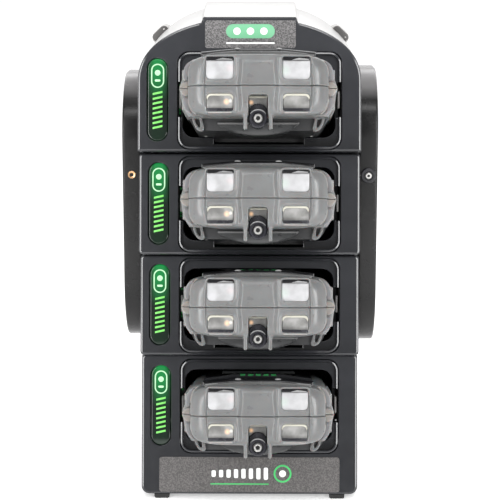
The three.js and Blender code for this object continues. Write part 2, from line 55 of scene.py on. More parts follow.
MM = 0.001
TILT = math.radians(11.5)
COS, SIN = math.cos(TILT), math.sin(TILT)
GAP = 0.3  # air between pieces that touch on the real object
REAR = 142.0  # back of the rear housing, from the front lip of a bay
BACK_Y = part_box("rear_housing")[1].y / MM - REAR  # row-frame y of the front lips
BODY_W = 133.4
FRAME_BACK = 26.0
FACE = 5.4
WALL = 2.6
LIPS = {"base": 26.4, "lower": 90.2, "upper": 152.7, "top": 215.2}
PITCH = 62.5
BASE_PITCH = 63.8
ARCH = {"springing": 41.6, "rise": 38.3, "ease": 0.91, "half": 29.0, "top": 80.5}
BAY_X = 5.6
RECESS = {"x": 6.0, "z": 30.4, "w": 97.2, "h": 57.7, "r": 7.0}
OPENING = {"x": BAY_X, "z": 30.75, "w": 91.0, "h": 44.2, "r": 7.0}
NOTCH = (20.5, 41.5)
DETECTOR_Z = 31  # the parting plane of a docked detector
SLOT_HALF = 26.75
SLOT_DROP = 3.8
FLANGE = (2.6, 11.6)
TUNNEL_WALL = 2.2
TUNNEL_END = 97
LIGHT = {"x": -54.7, "z": 30.8, "w": 12.2, "h": 49.0}
BADGE = {"x": 0.5, "z": 69.8, "w": 54.0, "h": 16.6}
NAME_PLATE = {"x": 0.0, "z": -11.7, "w": 111.2, "h": 21.6}
SHELL_BOTTOM = 228.0
FOOT_H = 3.0
FOOT_FRONT, FOOT_BACK = -3.6, 134
PRINT = (-0.36, -0.1, 0.05)  # print on a plate: its front, back and bevel
LENS_PRINT = (0.4, 0.62, 0.08)  # the same on a status light


def upright():
    """Placement of the frame in which the tower stands: y = 0 at the front lips."""
    return Matrix.Translation((0, BACK_Y * MM, 0)) @ Matrix.Scale(MM, 4)


def bay(key):
    """Placement of one bay frame."""
    place = Matrix.Translation((0, BACK_Y * MM, LIPS[key] * MM))
    return place @ Matrix.Rotation(-TILT, 4, "X") @ Matrix.Scale(MM, 4)


def detector_frame(key):
    return bay(key) @ Matrix.Translation((BAY_X, 0, DETECTOR_Z))


# ---- outlines ----


def arc(cx, cz, r, start, end, steps=7):
    """Points of an arc, angles in degrees."""
    angles = np.radians(np.linspace(start, end, steps))
    return [(cx + r * math.cos(a), cz + r * math.sin(a)) for a in angles]


def round_rect(cx, cz, w, h, r, steps=9):
    """A rectangle with round corners, anticlockwise; r is one radius or four from the lower left one."""
    radii = r if isinstance(r, tuple) else (r,) * 4
    x0, x1, z0, z1 = cx - w / 2, cx + w / 2, cz - h / 2, cz + h / 2
    a, b, c, d = (max(v, 0.01) for v in radii)
    return (
        arc(x0 + a, z0 + a, a, 180, 270, steps)
        + arc(x1 - b, z0 + b, b, 270, 360, steps)
        + arc(x1 - c, z1 - c, c, 0, 90, steps)
        + arc(x0 + d, z1 - d, d, 90, 180, steps)
    )


def arch(inset=0.0, bottom=0.0, stretch=1.0):
    """Outline of the top frame: straight flanks, elliptical shoulders and a raised block."""
    half, block = BODY_W / 2 - inset, ARCH["half"] - inset
    rise, top = ARCH["rise"] - inset, ARCH["top"] - inset
    ease = ARCH["ease"]
    shoulder = math.degrees(math.acos((block / half) ** (1 / ease)))
    right = []
    for t in np.radians(np.linspace(0, shoulder, 28)):
        right.append((half * math.cos(t) ** ease, ARCH["springing"] + rise * math.sin(t) ** ease))
    right += arc(block - 2.2, top - 1.4, 1.4, 0, 90, 6)
    right = [(half, bottom)] + right
    left = [(-x, z) for x, z in reversed(right)]
    return [(x, z * stretch) for x, z in right + left]


def corner_cut(points, rounds=2):
    """The open outline with its corners cut, each round making it smoother."""
    for _ in range(rounds):
        cut = [points[0]]
        for (x0, z0), (x1, z1) in zip(points, points[1:]):
            cut.append((0.75 * x0 + 0.25 * x1, 0.75 * z0 + 0.25 * z1))
            cut.append((0.25 * x0 + 0.75 * x1, 0.25 * z0 + 0.75 * z1))
        points = cut + [points[-1]]
    return points


# ---- meshes ----


def evaluated(data, modify=lambda obj: None):
    """A new mesh made from the data after the modifiers that modify() adds."""
    obj = bpy.data.objects.new("scratch", data)
    bpy.context.scene.collection.objects.link(obj)
    modify(obj)
    graph = bpy.context.evaluated_depsgraph_get()
    graph.update()
    mesh = bpy.data.meshes.new_from_object(obj.evaluated_get(graph))
    bpy.data.objects.remove(obj)
    return mesh


def finished(bm, name):
    """The working mesh as a named mesh."""
    mesh = bpy.data.meshes.new(name)
    bm.to_mesh(mesh)
    bm.free()
    return mesh


def cleaned(mesh, distance=0.004):
    """The mesh with doubled points merged and its faces turned outward."""
    bm = bmesh.new()
    bm.from_mesh(mesh)
    bmesh.ops.remove_doubles(bm, verts=bm.verts, dist=distance)
    bmesh.ops.recalc_face_normals(bm, faces=bm.faces)
    bm.to_mesh(mesh)
    bm.free()
    return mesh


def shaded(mesh):
    """The mesh with its level faces flat and all others smooth."""
    for face in mesh.polygons:
        face.use_smooth = max(abs(v) for v in face.normal) < 0.9995
    return mesh


def sheet_metal(outlines, depth, bevel, segments):
    """A plate lying in its own x-y plane, centred on z = 0: a rim, then holes, with rounded edges."""
    curve = bpy.data.curves.new("plate", "CURVE")
    curve.dimensions = "2D"
    curve.fill_mode = "BOTH"
    curve.extrude = depth / 2 - bevel
    curve.bevel_depth = bevel
    curve.bevel_resolution = segments
    curve.offset = -bevel
    for points in outlines:
        spline = curve.splines.new("POLY")
        spline.points.add(len(points) - 1)
        for point, (x, z) in zip(spline.points, points):
            point.co = (x, z, 0, 1)
        spline.use_cyclic_u = True
    return shaded(cleaned(evaluated(curve)))


def plate(outlines, y0, y1, bevel=0.4, segments=2):
    """A plate that faces the front, from y0 back to y1. Its outlines are drawn in x and z."""
    mesh = sheet_metal(outlines, y1 - y0, bevel, segments)
    mesh.transform(Matrix.Translation((0, (y0 + y1) / 2, 0)) @ Matrix.Rotation(math.pi / 2, 4, "X"))
    return mesh


def side_plate(outlines, x0, x1, bevel=0.4, segments=3):
    """A plate that faces sideways, from x0 to x1. Its outlines are drawn in y and z."""
    mesh = sheet_metal(outlines, x1 - x0, bevel, segments)
    turn = Matrix(((0, 0, 1, 0), (1, 0, 0, 0), (0, 1, 0, 0), (0, 0, 0, 1)))
    mesh.transform(Matrix.Translation(((x0 + x1) / 2, 0, 0)) @ turn)
    return mesh


def loft(rings):
    """A skin over rings of points with the same count, closed by its two end faces."""
    bm = bmesh.new()
    rows = [[bm.verts.new(p) for p in ring] for ring in rings]
    n = len(rows[0])
    for row, after in zip(rows, rows[1:]):
        for i in range(n):
            bm.faces.new((row[i], row[(i + 1) % n], after[(i + 1) % n], after[i]))
    bm.faces.new(rows[0])
    bm.faces.new(rows[-1])
    bmesh.ops.recalc_face_normals(bm, faces=bm.faces)
    return shaded(finished(bm, "loft"))


def turned(profile, x=0.0, z=0.0, steps=40):
    """A turned piece on an axis along y. The profile is (radius, y) from axis to axis."""
    bm = bmesh.new()
    verts = [bm.verts.new((r, y, 0)) for r, y in profile]
    edges = [bm.edges.new(pair) for pair in zip(verts, verts[1:])]
    bmesh.ops.spin(
        bm, geom=verts + edges, axis=(0, 1, 0), cent=(0, 0, 0),
        steps=steps, angle=2 * math.pi, use_duplicate=False
    )
    bmesh.ops.remove_doubles(bm, verts=bm.verts, dist=0.004)
    bmesh.ops.recalc_face_normals(bm, faces=bm.faces)
    mesh = finished(bm, "turned")
    mesh.transform(Matrix.Translation((x, 0, z)))
    return shaded(mesh)


def stood(mesh, x, y, z):
    """The turned mesh with its axis stood up along z, moved to a point."""
    mesh.transform(Matrix.Translation((x, y, z)) @ Matrix.Rotation(math.pi / 2, 4, "X"))
    return mesh


def block(x0, x1, y0, y1, z0, z1, bevel=0.0, segments=3):
    """A box between two corners, with rounded edges where bevel is over 0."""
    bm = bmesh.new()
    bmesh.ops.create_cube(bm, size=1)
    size = (x1 - x0, y1 - y0, z1 - z0)
    centre = ((x0 + x1) / 2, (y0 + y1) / 2, (z0 + z1) / 2)
    bmesh.ops.transform(bm, matrix=Matrix.Translation(centre) @ Matrix.Diagonal((*size, 1)), verts=bm.verts)
    if bevel > 0:
        bmesh.ops.bevel(bm, geom=bm.edges, offset=bevel, segments=segments, profile=0.5, affect="EDGES")
    return shaded(finished(bm, "block"))


def merged(meshes):
    """Several meshes as one."""
    bm = bmesh.new()
    for mesh in meshes:
        bm.from_mesh(mesh)
    return finished(bm, "merged")


def boolean(mesh, others, operation="DIFFERENCE"):
    """The mesh cut by, or joined to, the others."""
    tool = bpy.data.objects.new("tool", merged(others))
    bpy.context.scene.collection.objects.link(tool)

    def modify(obj):
        cut = obj.modifiers.new("cut", "BOOLEAN")
        cut.operation = operation
        cut.solver = "EXACT"
        cut.use_self = True
        cut.object = tool

    made = evaluated(mesh, modify)
    bpy.data.objects.remove(tool)
    return made


def softened(mesh, voxel, rounds, keep):
    """The mesh remeshed and smoothed, so that its edges are as soft as moulded ones."""

    def modify(obj):
        remesh = obj.modifiers.new("remesh", "REMESH")
        remesh.mode = "VOXEL"
        remesh.voxel_size = voxel
        smooth = obj.modifiers.new("smooth", "SMOOTH")
        smooth.factor = 0.5
        smooth.iterations = rounds
        fewer = obj.modifiers.new("fewer", "DECIMATE")
        fewer.ratio = keep

    made = evaluated(mesh, modify)
    made.shade_smooth()
    return made


def swept(path, profile):
    """A strip along an open path in x and z. The profile is (offset to the left of the path, y)."""
    rings = []
    for i, (x, z) in enumerate(path):
        (x0, z0), (x1, z1) = path[max(i - 1, 0)], path[min(i + 1, len(path) - 1)]
        length = math.hypot(x1 - x0, z1 - z0)
        nx, nz = -(z1 - z0) / length, (x1 - x0) / length
        rings.append([(x + nx * offset, y, z + nz * offset) for offset, y in profile])
    return loft(rings)


def piece(name, parts, place, body, nodes=(), sharp=38):
    """One object made of parts, placed, riding on a body and standing for CAD nodes.

    A part is (mesh, material), or (mesh, material, facet material) where slanted faces have their own.
    """
    bm = bmesh.new()
    materials = []
    for mesh, *looks in parts:
        for material in looks:
            if material not in materials:
                materials.append(material)
        start = len(bm.faces)
        bm.from_mesh(mesh)
        bm.faces.ensure_lookup_table()
        for face in bm.faces[start:]:
            slanted = 0.3 < abs(face.normal.y) < 0.995
            face.material_index = materials.index(looks[-1] if slanted else looks[0])
    data = finished(bm, name)
    data.set_sharp_from_angle(angle=math.radians(sharp))
    for material in materials:
        data.materials.append(material)
    obj = bpy.data.objects.new(name, data)
    bpy.context.scene.collection.objects.link(obj)
    scale = Matrix.Scale(MM, 4)
    data.transform(scale)
    obj.matrix_world = place @ scale.inverted()
    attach(obj, body)
    if nodes:
        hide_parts(*nodes)
    return obj


# ---- materials ----


def new_material(name):
    material = bpy.data.materials.new(name)
    material.use_nodes = True
    return material, material.node_tree.nodes, material.node_tree.links


def noise(nodes, links, scale, detail=3.0):
    """Noise in the object's own space, scale in features per metre."""
    coords = nodes.new("ShaderNodeTexCoord")
    texture = nodes.new("ShaderNodeTexNoise")
    texture.inputs["Scale"].default_value = scale
    texture.inputs["Detail"].default_value = detail
    links.new(coords.outputs["Object"], texture.inputs["Vector"])
    return texture.outputs["Fac"]


def ramp(nodes, links, source, stops):
    """A colour ramp; stops are (position, colour)."""
    node = nodes.new("ShaderNodeValToRGB")
    elements = node.color_ramp.elements
    while len(elements) < len(stops):
        elements.new(0.5)
    for element, (position, colour) in zip(elements, stops):
        element.position = position
        element.color = (*colour, 1)
    links.new(source, node.inputs["Fac"])
    return node.outputs["Color"]


def spread(nodes, links, source, low, high, start=0.3, end=0.7):
    """A value that runs from low to high as the source runs from start to end."""
    node = nodes.new("ShaderNodeMapRange")
    node.inputs["From Min"].default_value = start
    node.inputs["From Max"].default_value = end
    node.inputs["To Min"].default_value = low
    node.inputs["To Max"].default_value = high
    links.new(source, node.inputs["Value"])
    return node.outputs["Result"]


def own_space(nodes, links):
    """The object's own coordinates, whole and split into x, y and z."""
    coords = nodes.new("ShaderNodeTexCoord")
    parts = nodes.new("ShaderNodeSeparateXYZ")
    links.new(coords.outputs["Object"], parts.inputs["Vector"])
    return coords.outputs["Object"], parts.outputs


def calc(nodes, links, operation, *values):
    """One step of arithmetic on sockets and constants."""
    node = nodes.new("ShaderNodeMath")
    node.operation = operation
    for socket, value in zip(node.inputs, values):
        if isinstance(value, float):
            socket.default_value = value
        else:
            links.new(value, socket)
    return node.outputs[0]


def scaled(nodes, links, colour, factor):
    """A colour, from a socket or constant, times the value of a socket."""
    node = nodes.new("ShaderNodeVectorMath")
    node.operation = "SCALE"
    if isinstance(colour, tuple):
        node.inputs[0].default_value = colour
    else:
        links.new(colour, node.inputs[0])
    links.new(factor, node.inputs["Scale"])
    return node.outputs[0]


def bump(nodes, links, source, distance):
    node = nodes.new("ShaderNodeBump")
    node.inputs["Distance"].default_value = distance
    links.new(source, node.inputs["Height"])
    links.new(node.outputs["Normal"], nodes["Principled BSDF"].inputs["Normal"])


def moulded(name, dark, light, rough=(0.35, 0.45), grain=2600, grain_depth=0.00003, **sockets):
    """Moulded plastic: cloudy colour between dark and light, fine grain, uneven gloss."""
    material, nodes, links = new_material(name)
    shader = nodes["Principled BSDF"]
    clouds = noise(nodes, links, 40, 4)
    links.new(ramp(nodes, links, clouds, [(0.35, dark), (0.65, light)]), shader.inputs["Base Color"])
    links.new(spread(nodes, links, noise(nodes, links, 160, 5), *rough), shader.inputs["Roughness"])
    bump(nodes, links, noise(nodes, links, grain, 2), grain_depth)
    for socket, value in sockets.items():
        shader.inputs[socket.replace("_", " ")].default_value = value
    return material


def speckled(name, scale, spread_out, middle):
    """Printed plate: fine light and dark specks on warm grey."""
    material, nodes, links = new_material(name)
    shader = nodes["Principled BSDF"]
    specks = noise(nodes, links, scale, 1.5)
    low = tuple(v * (1 - spread_out) for v in middle)
    high = tuple(v * (1 + 1.3 * spread_out) for v in middle)
    colour = ramp(nodes, links, specks, [(0.36, low), (0.5, middle), (0.64, high)])
    links.new(colour, shader.inputs["Base Color"])
    links.new(spread(nodes, links, specks, 0.5, 0.75), shader.inputs["Roughness"])
    bump(nodes, links, specks, 0.00003)
    return material


def paint_light_by_height(material, factors, heights):
    """Painted light and shade: multiplies the base colour by a factor that changes with the object's own
    height, in mm.
    """
    nodes, links = material.node_tree.nodes, material.node_tree.links
    base = nodes["Principled BSDF"].inputs["Base Color"]
    _, parts = own_space(nodes, links)
    factor = spread(nodes, links, parts["Z"], *factors, *(height * MM for height in heights))
    links.new(scaled(nodes, links, base.links[0].from_socket, factor), base)


def smoky_rubber(name, dark, light, edge):
    """Translucent rubber: cloudy and satin, with its convex edges painted paler as a painted edge highlight.
    """
    material, nodes, links = new_material(name)
    shader = nodes["Principled BSDF"]
    clouds = ramp(nodes, links, noise(nodes, links, 60, 5), [(0.3, dark), (0.7, light)])
    # Painted highlight: pointiness picks out convex edges, and these are blended towards the paler edge
    # colour.
    geometry = nodes.new("ShaderNodeNewGeometry")
    edges = spread(nodes, links, geometry.outputs["Pointiness"], 0, 0.85, 0.52, 0.6)
    blend = nodes.new("ShaderNodeMix")
    blend.data_type = "RGBA"
    links.new(edges, blend.inputs["Factor"])
    links.new(clouds, blend.inputs["A"])
    blend.inputs["B"].default_value = (*edge, 1)
    links.new(blend.outputs["Result"], shader.inputs["Base Color"])
    links.new(spread(nodes, links, noise(nodes, links, 300, 5), 0.26, 0.4), shader.inputs["Roughness"])
    bump(nodes, links, noise(nodes, links, 1300, 3), 0.00003)
    shader.inputs["Subsurface Weight"].default_value = 0.15
    shader.inputs["Subsurface Scale"].default_value = 0.0015
    shader.inputs["Coat Weight"].default_value = 0.1
    return material


def glowing(name, colour, strength):
    """Print lit from behind, a little uneven."""
    material, nodes, links = new_material(name)
    shader = nodes["Principled BSDF"]
    shader.inputs["Base Color"].default_value = (*(0.2 * v for v in colour), 1)
    shader.inputs["Emission Color"].default_value = (*colour, 1)
    shader.inputs["Roughness"].default_value = 0.4
    uneven = spread(nodes, links, noise(nodes, links, 300), strength * 0.85, strength * 1.15)
    links.new(uneven, shader.inputs["Emission Strength"])
    return material


def lit_lens(name):
    """Dark green lens, lit along its middle."""
    material, nodes, links = new_material(name)
    shader = nodes["Principled BSDF"]
    shader.inputs["Base Color"].default_value = (0.004, 0.009, 0.006, 1)
    shader.inputs["Roughness"].default_value = 0.12
    shader.inputs["Emission Color"].default_value = (0.01, 0.42, 0.09, 1)
    _, parts = own_space(nodes, links)
    away = calc(nodes, links, "ABSOLUTE", calc(nodes, links, "SUBTRACT", parts["X"], LIGHT["x"] * MM))
    glow = spread(nodes, links, away, 0.75, 0.05, 0.002, 0.006)
    rising = spread(nodes, links, parts["Z"], 0.03, 0.85, 0.03, 0.046)
    links.new(calc(nodes, links, "MULTIPLY", glow, rising), shader.inputs["Emission Strength"])
    return material


def metal(name, dark, light, roughness=0.25, grain=900):
    material, nodes, links = new_material(name)
    shader = nodes["Principled BSDF"]
    shader.inputs["Metallic"].default_value = 1
    streaks = noise(nodes, links, grain, 4)
    links.new(ramp(nodes, links, streaks, [(0.3, dark), (0.7, light)]), shader.inputs["Base Color"])
    links.new(spread(nodes, links, streaks, roughness * 0.7, roughness * 1.4), shader.inputs["Roughness"])
    return material


def window_pad(name, dark, light, fade, spots):
    """Cloudy silver behind a window, with painted shade that darkens it from one height towards another, and
    soft coloured spots.

    fade is the painted shade: (lowest z, highest z, turning z, darkest share); a spot is (x, z, radius,
    colour, strength), in mm.
    """
    material, nodes, links = new_material(name)
    shader = nodes["Principled BSDF"]
    shader.inputs["Metallic"].default_value = 0.1
    shader.inputs["Roughness"].default_value = 0.3
    clouds = noise(nodes, links, 110, 7)
    silver = ramp(nodes, links, clouds, [(0.38, dark), (0.6, light)])
    coords, parts = own_space(nodes, links)
    low, high, turn, darkest = fade
    far = high if turn > (low + high) / 2 else low
    # Painted shade: the silver darkens from the turning height towards the far one.
    shade = spread(nodes, links, parts["Z"], 1, darkest, turn * MM, far * MM)
    links.new(scaled(nodes, links, silver, shade), shader.inputs["Base Color"])
    flat = nodes.new("ShaderNodeVectorMath")
    flat.operation = "MULTIPLY"
    flat.inputs[1].default_value = (1, 0, 1)
    links.new(coords, flat.inputs[0])
    total = None
    for x, z, radius, colour, strength in spots:
        ball = nodes.new("ShaderNodeVectorMath")
        ball.operation = "DISTANCE"
        links.new(flat.outputs[0], ball.inputs[0])
        ball.inputs[1].default_value = (x * MM, 0, z * MM)
        near = spread(nodes, links, ball.outputs["Value"], strength, 0, radius * 0.25 * MM, radius * MM)
        tint = scaled(nodes, links, colour, near)
        if total is not None:
            add = nodes.new("ShaderNodeVectorMath")
            add.operation = "ADD"
            links.new(total, add.inputs[0])
            links.new(tint, add.inputs[1])
            tint = add.outputs[0]
        total = tint
    links.new(total, shader.inputs["Emission Color"])
    shader.inputs["Emission Strength"].default_value = 1
    return material


FRAME_PLASTIC = moulded(
    "frame_plastic", (0.022, 0.023, 0.0265), (0.0275, 0.0287, 0.0325), (0.13, 0.2), 2400, 0.000004
)
EDGE_SHINE = moulded(
    "edge_shine", (0.022, 0.023, 0.026), (0.027, 0.028, 0.032), (0.1, 0.13), 2000, 0.000001,
    Specular_IOR_Level=0.62
)
CRADLE_PLASTIC = moulded(
    "cradle_plastic", (0.017, 0.018, 0.021), (0.021, 0.022, 0.0255), (0.13, 0.2), 2000, 0.000004
)
RIM_PLASTIC = moulded("rim_plastic", (0.02, 0.021, 0.024), (0.028, 0.029, 0.033), (0.06, 0.1), 2000, 0.000002)
# Near-black plastic of the tunnel, also used for discs of painted shade inside bores.
TUNNEL_BLACK_AND_HOLE_SHADE = moulded("tunnel_black_and_painted_hole_shade", (0.003, 0.003, 0.004), (0.005, 0.005, 0.006), (0.5, 0.6))
HOUSING_PLASTIC = moulded(
    "housing_plastic", (0.017, 0.0175, 0.019), (0.0205, 0.021, 0.023), (0.42, 0.5), 1400, 0.00004
)
COVER_PLASTIC = moulded(
    "cover_plastic", (0.0075, 0.0073, 0.0074), (0.01, 0.0098, 0.0099), (0.2, 0.28), 1500, 0.000008,
    Specular_IOR_Level=0.3
)
SHELL_PLASTIC = moulded("shell_plastic", (0.525, 0.52, 0.515), (0.55, 0.545, 0.54), (0.3, 0.36), 1800, 0.00001)
HOOD_PAD = moulded("hood_pad", (0.04, 0.038, 0.037), (0.07, 0.066, 0.064), (0.3, 0.4))
HOOD_PLASTIC = moulded("hood_plastic", (0.42, 0.41, 0.4), (0.52, 0.505, 0.495), (0.25, 0.35))
CREAM = moulded("cream_edge", (0.34, 0.33, 0.28), (0.43, 0.42, 0.36), (0.3, 0.4))
# Grey of the LED domes, also used for painted highlights.
LED_LENS_AND_PAINTED_HIGHLIGHT = moulded("led_lens_and_painted_highlight", (0.15, 0.15, 0.15), (0.23, 0.23, 0.23), (0.3, 0.4))
BOOT = smoky_rubber("smoky_boot", (0.098, 0.099, 0.099), (0.138, 0.14, 0.14), (0.215, 0.21, 0.206))
BOOT_EDGE = smoky_rubber("smoky_edge", (0.15, 0.148, 0.153), (0.2, 0.198, 0.204), (0.3, 0.285, 0.275))
NOSE_LIP = smoky_rubber("nose_lip", (0.2, 0.185, 0.17), (0.27, 0.25, 0.232), (0.34, 0.32, 0.3))
BROW_PAINTED_REFLECTION = moulded("brow_painted_reflection", (0.062, 0.063, 0.062), (0.085, 0.086, 0.085), (0.2, 0.3))
BELLY = moulded("belly_plastic", (0.018, 0.0183, 0.019), (0.032, 0.0325, 0.034), (0.3, 0.42), 1200, 0.00003)
CLIP_PAINT = moulded("clip_paint", (0.03, 0.031, 0.032), (0.045, 0.046, 0.047), (0.25, 0.36), 2200, 0.00002)
CLIP_LIP_PAINTED_HIGHLIGHT = moulded("clip_lip_painted_highlight", (0.09, 0.09, 0.09), (0.12, 0.12, 0.12), (0.25, 0.36))
GLOSS_BLACK = moulded("gloss_black", (0.004, 0.004, 0.005), (0.007, 0.007, 0.008), (0.06, 0.12), 300, 0.000004)
DISPLAY = moulded("display", (0.012, 0.0135, 0.012), (0.017, 0.019, 0.0165), (0.1, 0.15))
FITTING = moulded("fitting_black", (0.008, 0.008, 0.011), (0.014, 0.014, 0.019), (0.2, 0.3))
KEY_RUBBER = moulded("key_rubber", (0.03, 0.03, 0.032), (0.045, 0.045, 0.048), (0.6, 0.75), 1800, 0.00005)
FOOT_RUBBER = moulded("foot_rubber", (0.008, 0.008, 0.008), (0.014, 0.014, 0.014), (0.7, 0.85), 1500, 0.00006)
BOARD = moulded("board_mask", (0.008, 0.07, 0.025), (0.012, 0.1, 0.035), (0.3, 0.45))
PLATE = speckled("speckled_plate", 1500, 0.45, (0.075, 0.07, 0.0685))
BADGE_PLATE = speckled("speckled_badge", 1500, 0.6, (0.105, 0.101, 0.102))
LENS = lit_lens("status_lens")
GLYPH = glowing("lit_print", (0.56, 0.95, 0.58), 0.95)
GREEN_GLYPH = glowing("green_print", (0.24, 0.85, 0.16), 0.9)
NOTCH_GLOW = glowing("notch_glow", (0.02, 0.6, 0.1), 0.12)
WHITE_PRINT = moulded("white_print", (0.75, 0.75, 0.74), (0.85, 0.85, 0.84), (0.4, 0.5))
PALE_GREEN = moulded("pale_green_print", (0.13, 0.4, 0.22), (0.165, 0.46, 0.26), (0.4, 0.5))
MID_GREEN = moulded("mid_green_print", (0.03, 0.4, 0.1), (0.05, 0.5, 0.13), (0.35, 0.45))
STEEL = metal("steel", (0.5, 0.49, 0.475), (0.72, 0.71, 0.69), 0.32, 4000)
BRASS = metal("brass", (0.5, 0.29, 0.14), (0.7, 0.44, 0.25), 0.25)
AMBER, GREEN, RED = (1.0, 0.5, 0.16), (0.06, 0.55, 0.2), (1.0, 0.25, 0.15)
UPPER_PAD = window_pad(
    "upper_window", (0.32, 0.32, 0.325), (0.43, 0.43, 0.44), (4.0, 14.9, 13.1, 0.1),
    [(14.6, 8.2, 4.0, GREEN, 0.14), (-15.5, 9.8, 3.0, RED, 0.07)],
)
LOWER_PAD = window_pad(
    "lower_window", (0.125, 0.124, 0.12), (0.27, 0.267, 0.26), (-13.0, -5.0, -10.5, 0.4),
    [(-17.4, -8.8, 2.0, AMBER, 0.8), (-15.2, -8.4, 1.3, (1, 0.95, 0.85), 0.55), (-3.8, -8.6, 1.6, AMBER, 0.6)],
)

# Painted shade: the cradles' colour darkens towards the lower edge of the recess.
paint_light_by_height(CRADLE_PLASTIC, (0.15, 1.0), (4, 16))
# Painted light and shade: each frame is darker near its lower edge and lighter higher up.
paint_light_by_height(FRAME_PLASTIC, (0.75, 1.08), (2, 30))
# Painted reflection: the side covers are made up to 24 times lighter towards their top edge, standing for
# light from above.
paint_light_by_height(COVER_PLASTIC, (1.0, 24.0), (243, 256))
# Painted reflection: the covers are made up to 5 times lighter towards their bottom, standing for the pale
# floor.
paint_light_by_height(COVER_PLASTIC, (5.0, 1.0), (84, 120))

# ---- tower: frames, cradles, lights and plates ----


def frame_holes():
    """Cutters for the bay recess and the status light, with a small chamfer at the front."""
    cutters = []
    for box, radius in ((RECESS, RECESS["r"]), (LIGHT, LIGHT["w"] / 2 + 0.29)):
        rings = []
        for y, grow in ((-1.0, 1.35), (0.0, 0.35), (0.35, 0.0), (9.0, 0.0)):
            w, h = box["w"] + 0.6 + 2 * grow, box["h"] + 0.6 + 2 * grow
            rings.append([(x, y, z) for x, z in round_rect(box["x"], box["z"], w, h, radius + grow, 14)])
        cutters.append(loft(rings))
    return cutters


def frame_face(outline):
    """Front of a frame with its holes cut; outline(inset) draws it. A narrow facet runs round its edge."""
    edge = ((1.45, 0.0), (0.8, 0.155), (0.5, 0.4), (0.2, 0.85), (0.05, 1.5), (0.0, 2.4), (0.0, FACE))
    return boolean(loft([[(x, y, z) for x, z in outline(inset)] for inset, y in edge]), frame_holes())


def skirt(outer, inner):
    """The walls behind a face, cut off upright where the rear housing starts."""
    mesh = plate([outer, inner], FACE / 2, 60, 0.0)
    for vertex in mesh.vertices:
        if vertex.co.y > 30:
            vertex.co.y = (FRAME_BACK - vertex.co.z * SIN) / COS
    return mesh


def face_height(pitch):
    return pitch * COS - GAP


def middle_frame():
    h = face_height(PITCH)
    face = frame_face(lambda inset: round_rect(0, h / 2, BODY_W - 2 * inset, h - 2 * inset, 2.6 - inset))
    outer = round_rect(0, h / 2, BODY_W - 0.08, h - 0.08, (2.0, 2.0, 1.2, 1.2))
    walls = skirt(outer, round_rect(0, h / 2, BODY_W - 2 * WALL, h - 3.2, 1.0))
    return [(face, FRAME_PLASTIC, EDGE_SHINE), (walls, FRAME_PLASTIC)]


def top_frame():
    face = frame_face(lambda inset: arch(inset, inset))
    walls = skirt(arch(0.04), arch(WALL, 1.6))
    return [(face, FRAME_PLASTIC, EDGE_SHINE), (walls, FRAME_PLASTIC)]


def base_frame():
    """The base is cut level FOOT_H above the table, with its lower corners rounded."""
    h = face_height(BASE_PITCH)
    low = (FOOT_H - LIPS["base"]) / COS
    r = 5.0

    def outline(inset):
        radii = (r - inset, r - inset, 2.6 - inset, 2.6 - inset)
        return round_rect(0, (h + low) / 2, BODY_W - 2 * inset, h - low - 2 * inset, radii)

    face = frame_face(outline)
    walls = skirt(
        round_rect(0, (h + low) / 2, BODY_W - 0.08, h - low - 0.08, (r, r, 1.2, 1.2)),
        round_rect(0, (h + low) / 2, BODY_W - 2 * WALL, h - low - 3.2, (3.0, 3.0, 1.0, 1.0)),
    )
    for mesh in (face, walls):
        for vertex in mesh.vertices:
            level = (FOOT_H - LIPS["base"] + vertex.co.y * SIN) / COS
            vertex.co.z = max(vertex.co.z, level)
    return [(face, FRAME_PLASTIC, EDGE_SHINE), (walls, FRAME_PLASTIC)]


def recess_outline(inset):
    w, h = RECESS["w"] - 2 * inset, RECESS["h"] - 2 * inset
    return round_rect(RECESS["x"], RECESS["z"], w, h, RECESS["r"] - inset)


def opening_outline(grow=0.0):
    o = OPENING
    return round_rect(o["x"], o["z"], o["w"] + 2 * grow, o["h"] + 2 * grow, o["r"] + grow)


def half_of(outline, upper):
    """The points above or below the side notches, with both ends carried on to the notch."""
    z_cut = NOTCH[1] if upper else NOTCH[0]
    kept = [p for p in outline if (p[1] > z_cut) == upper]
    return [(kept[0][0], z_cut)] + kept + [(kept[-1][0], z_cut)]


def flange_outline(upper):
    """Half of the cradle's flange as one closed outline. The lower half has the slot for the clip."""
    inner = half_of(opening_outline(), upper)
    if not upper:
        bottom = OPENING["z"] - OPENING["h"] / 2
        x0, x1 = OPENING["x"] - SLOT_HALF, OPENING["x"] + SLOT_HALF
        slot = [(x0, bottom), (x0, bottom - SLOT_DROP), (x1, bottom - SLOT_DROP), (x1, bottom)]
        left = [p for p in inner if p[0] < OPENING["x"]]
        inner = left + slot + inner[len(left) :]
    return half_of(recess_outline(0.0), upper) + inner[::-1]


def cradle_rim(upper):
    """Raised lip round half of the cradle, with a facet on its outer side."""
    profile = [(-0.85, 4.0), (-0.85, 0.6), (-0.6, 0.33), (0.1, 0.155), (0.5, 0.35), (0.85, 0.8), (0.85, 4.0)]
    return swept(half_of(recess_outline(0.9), upper), profile)


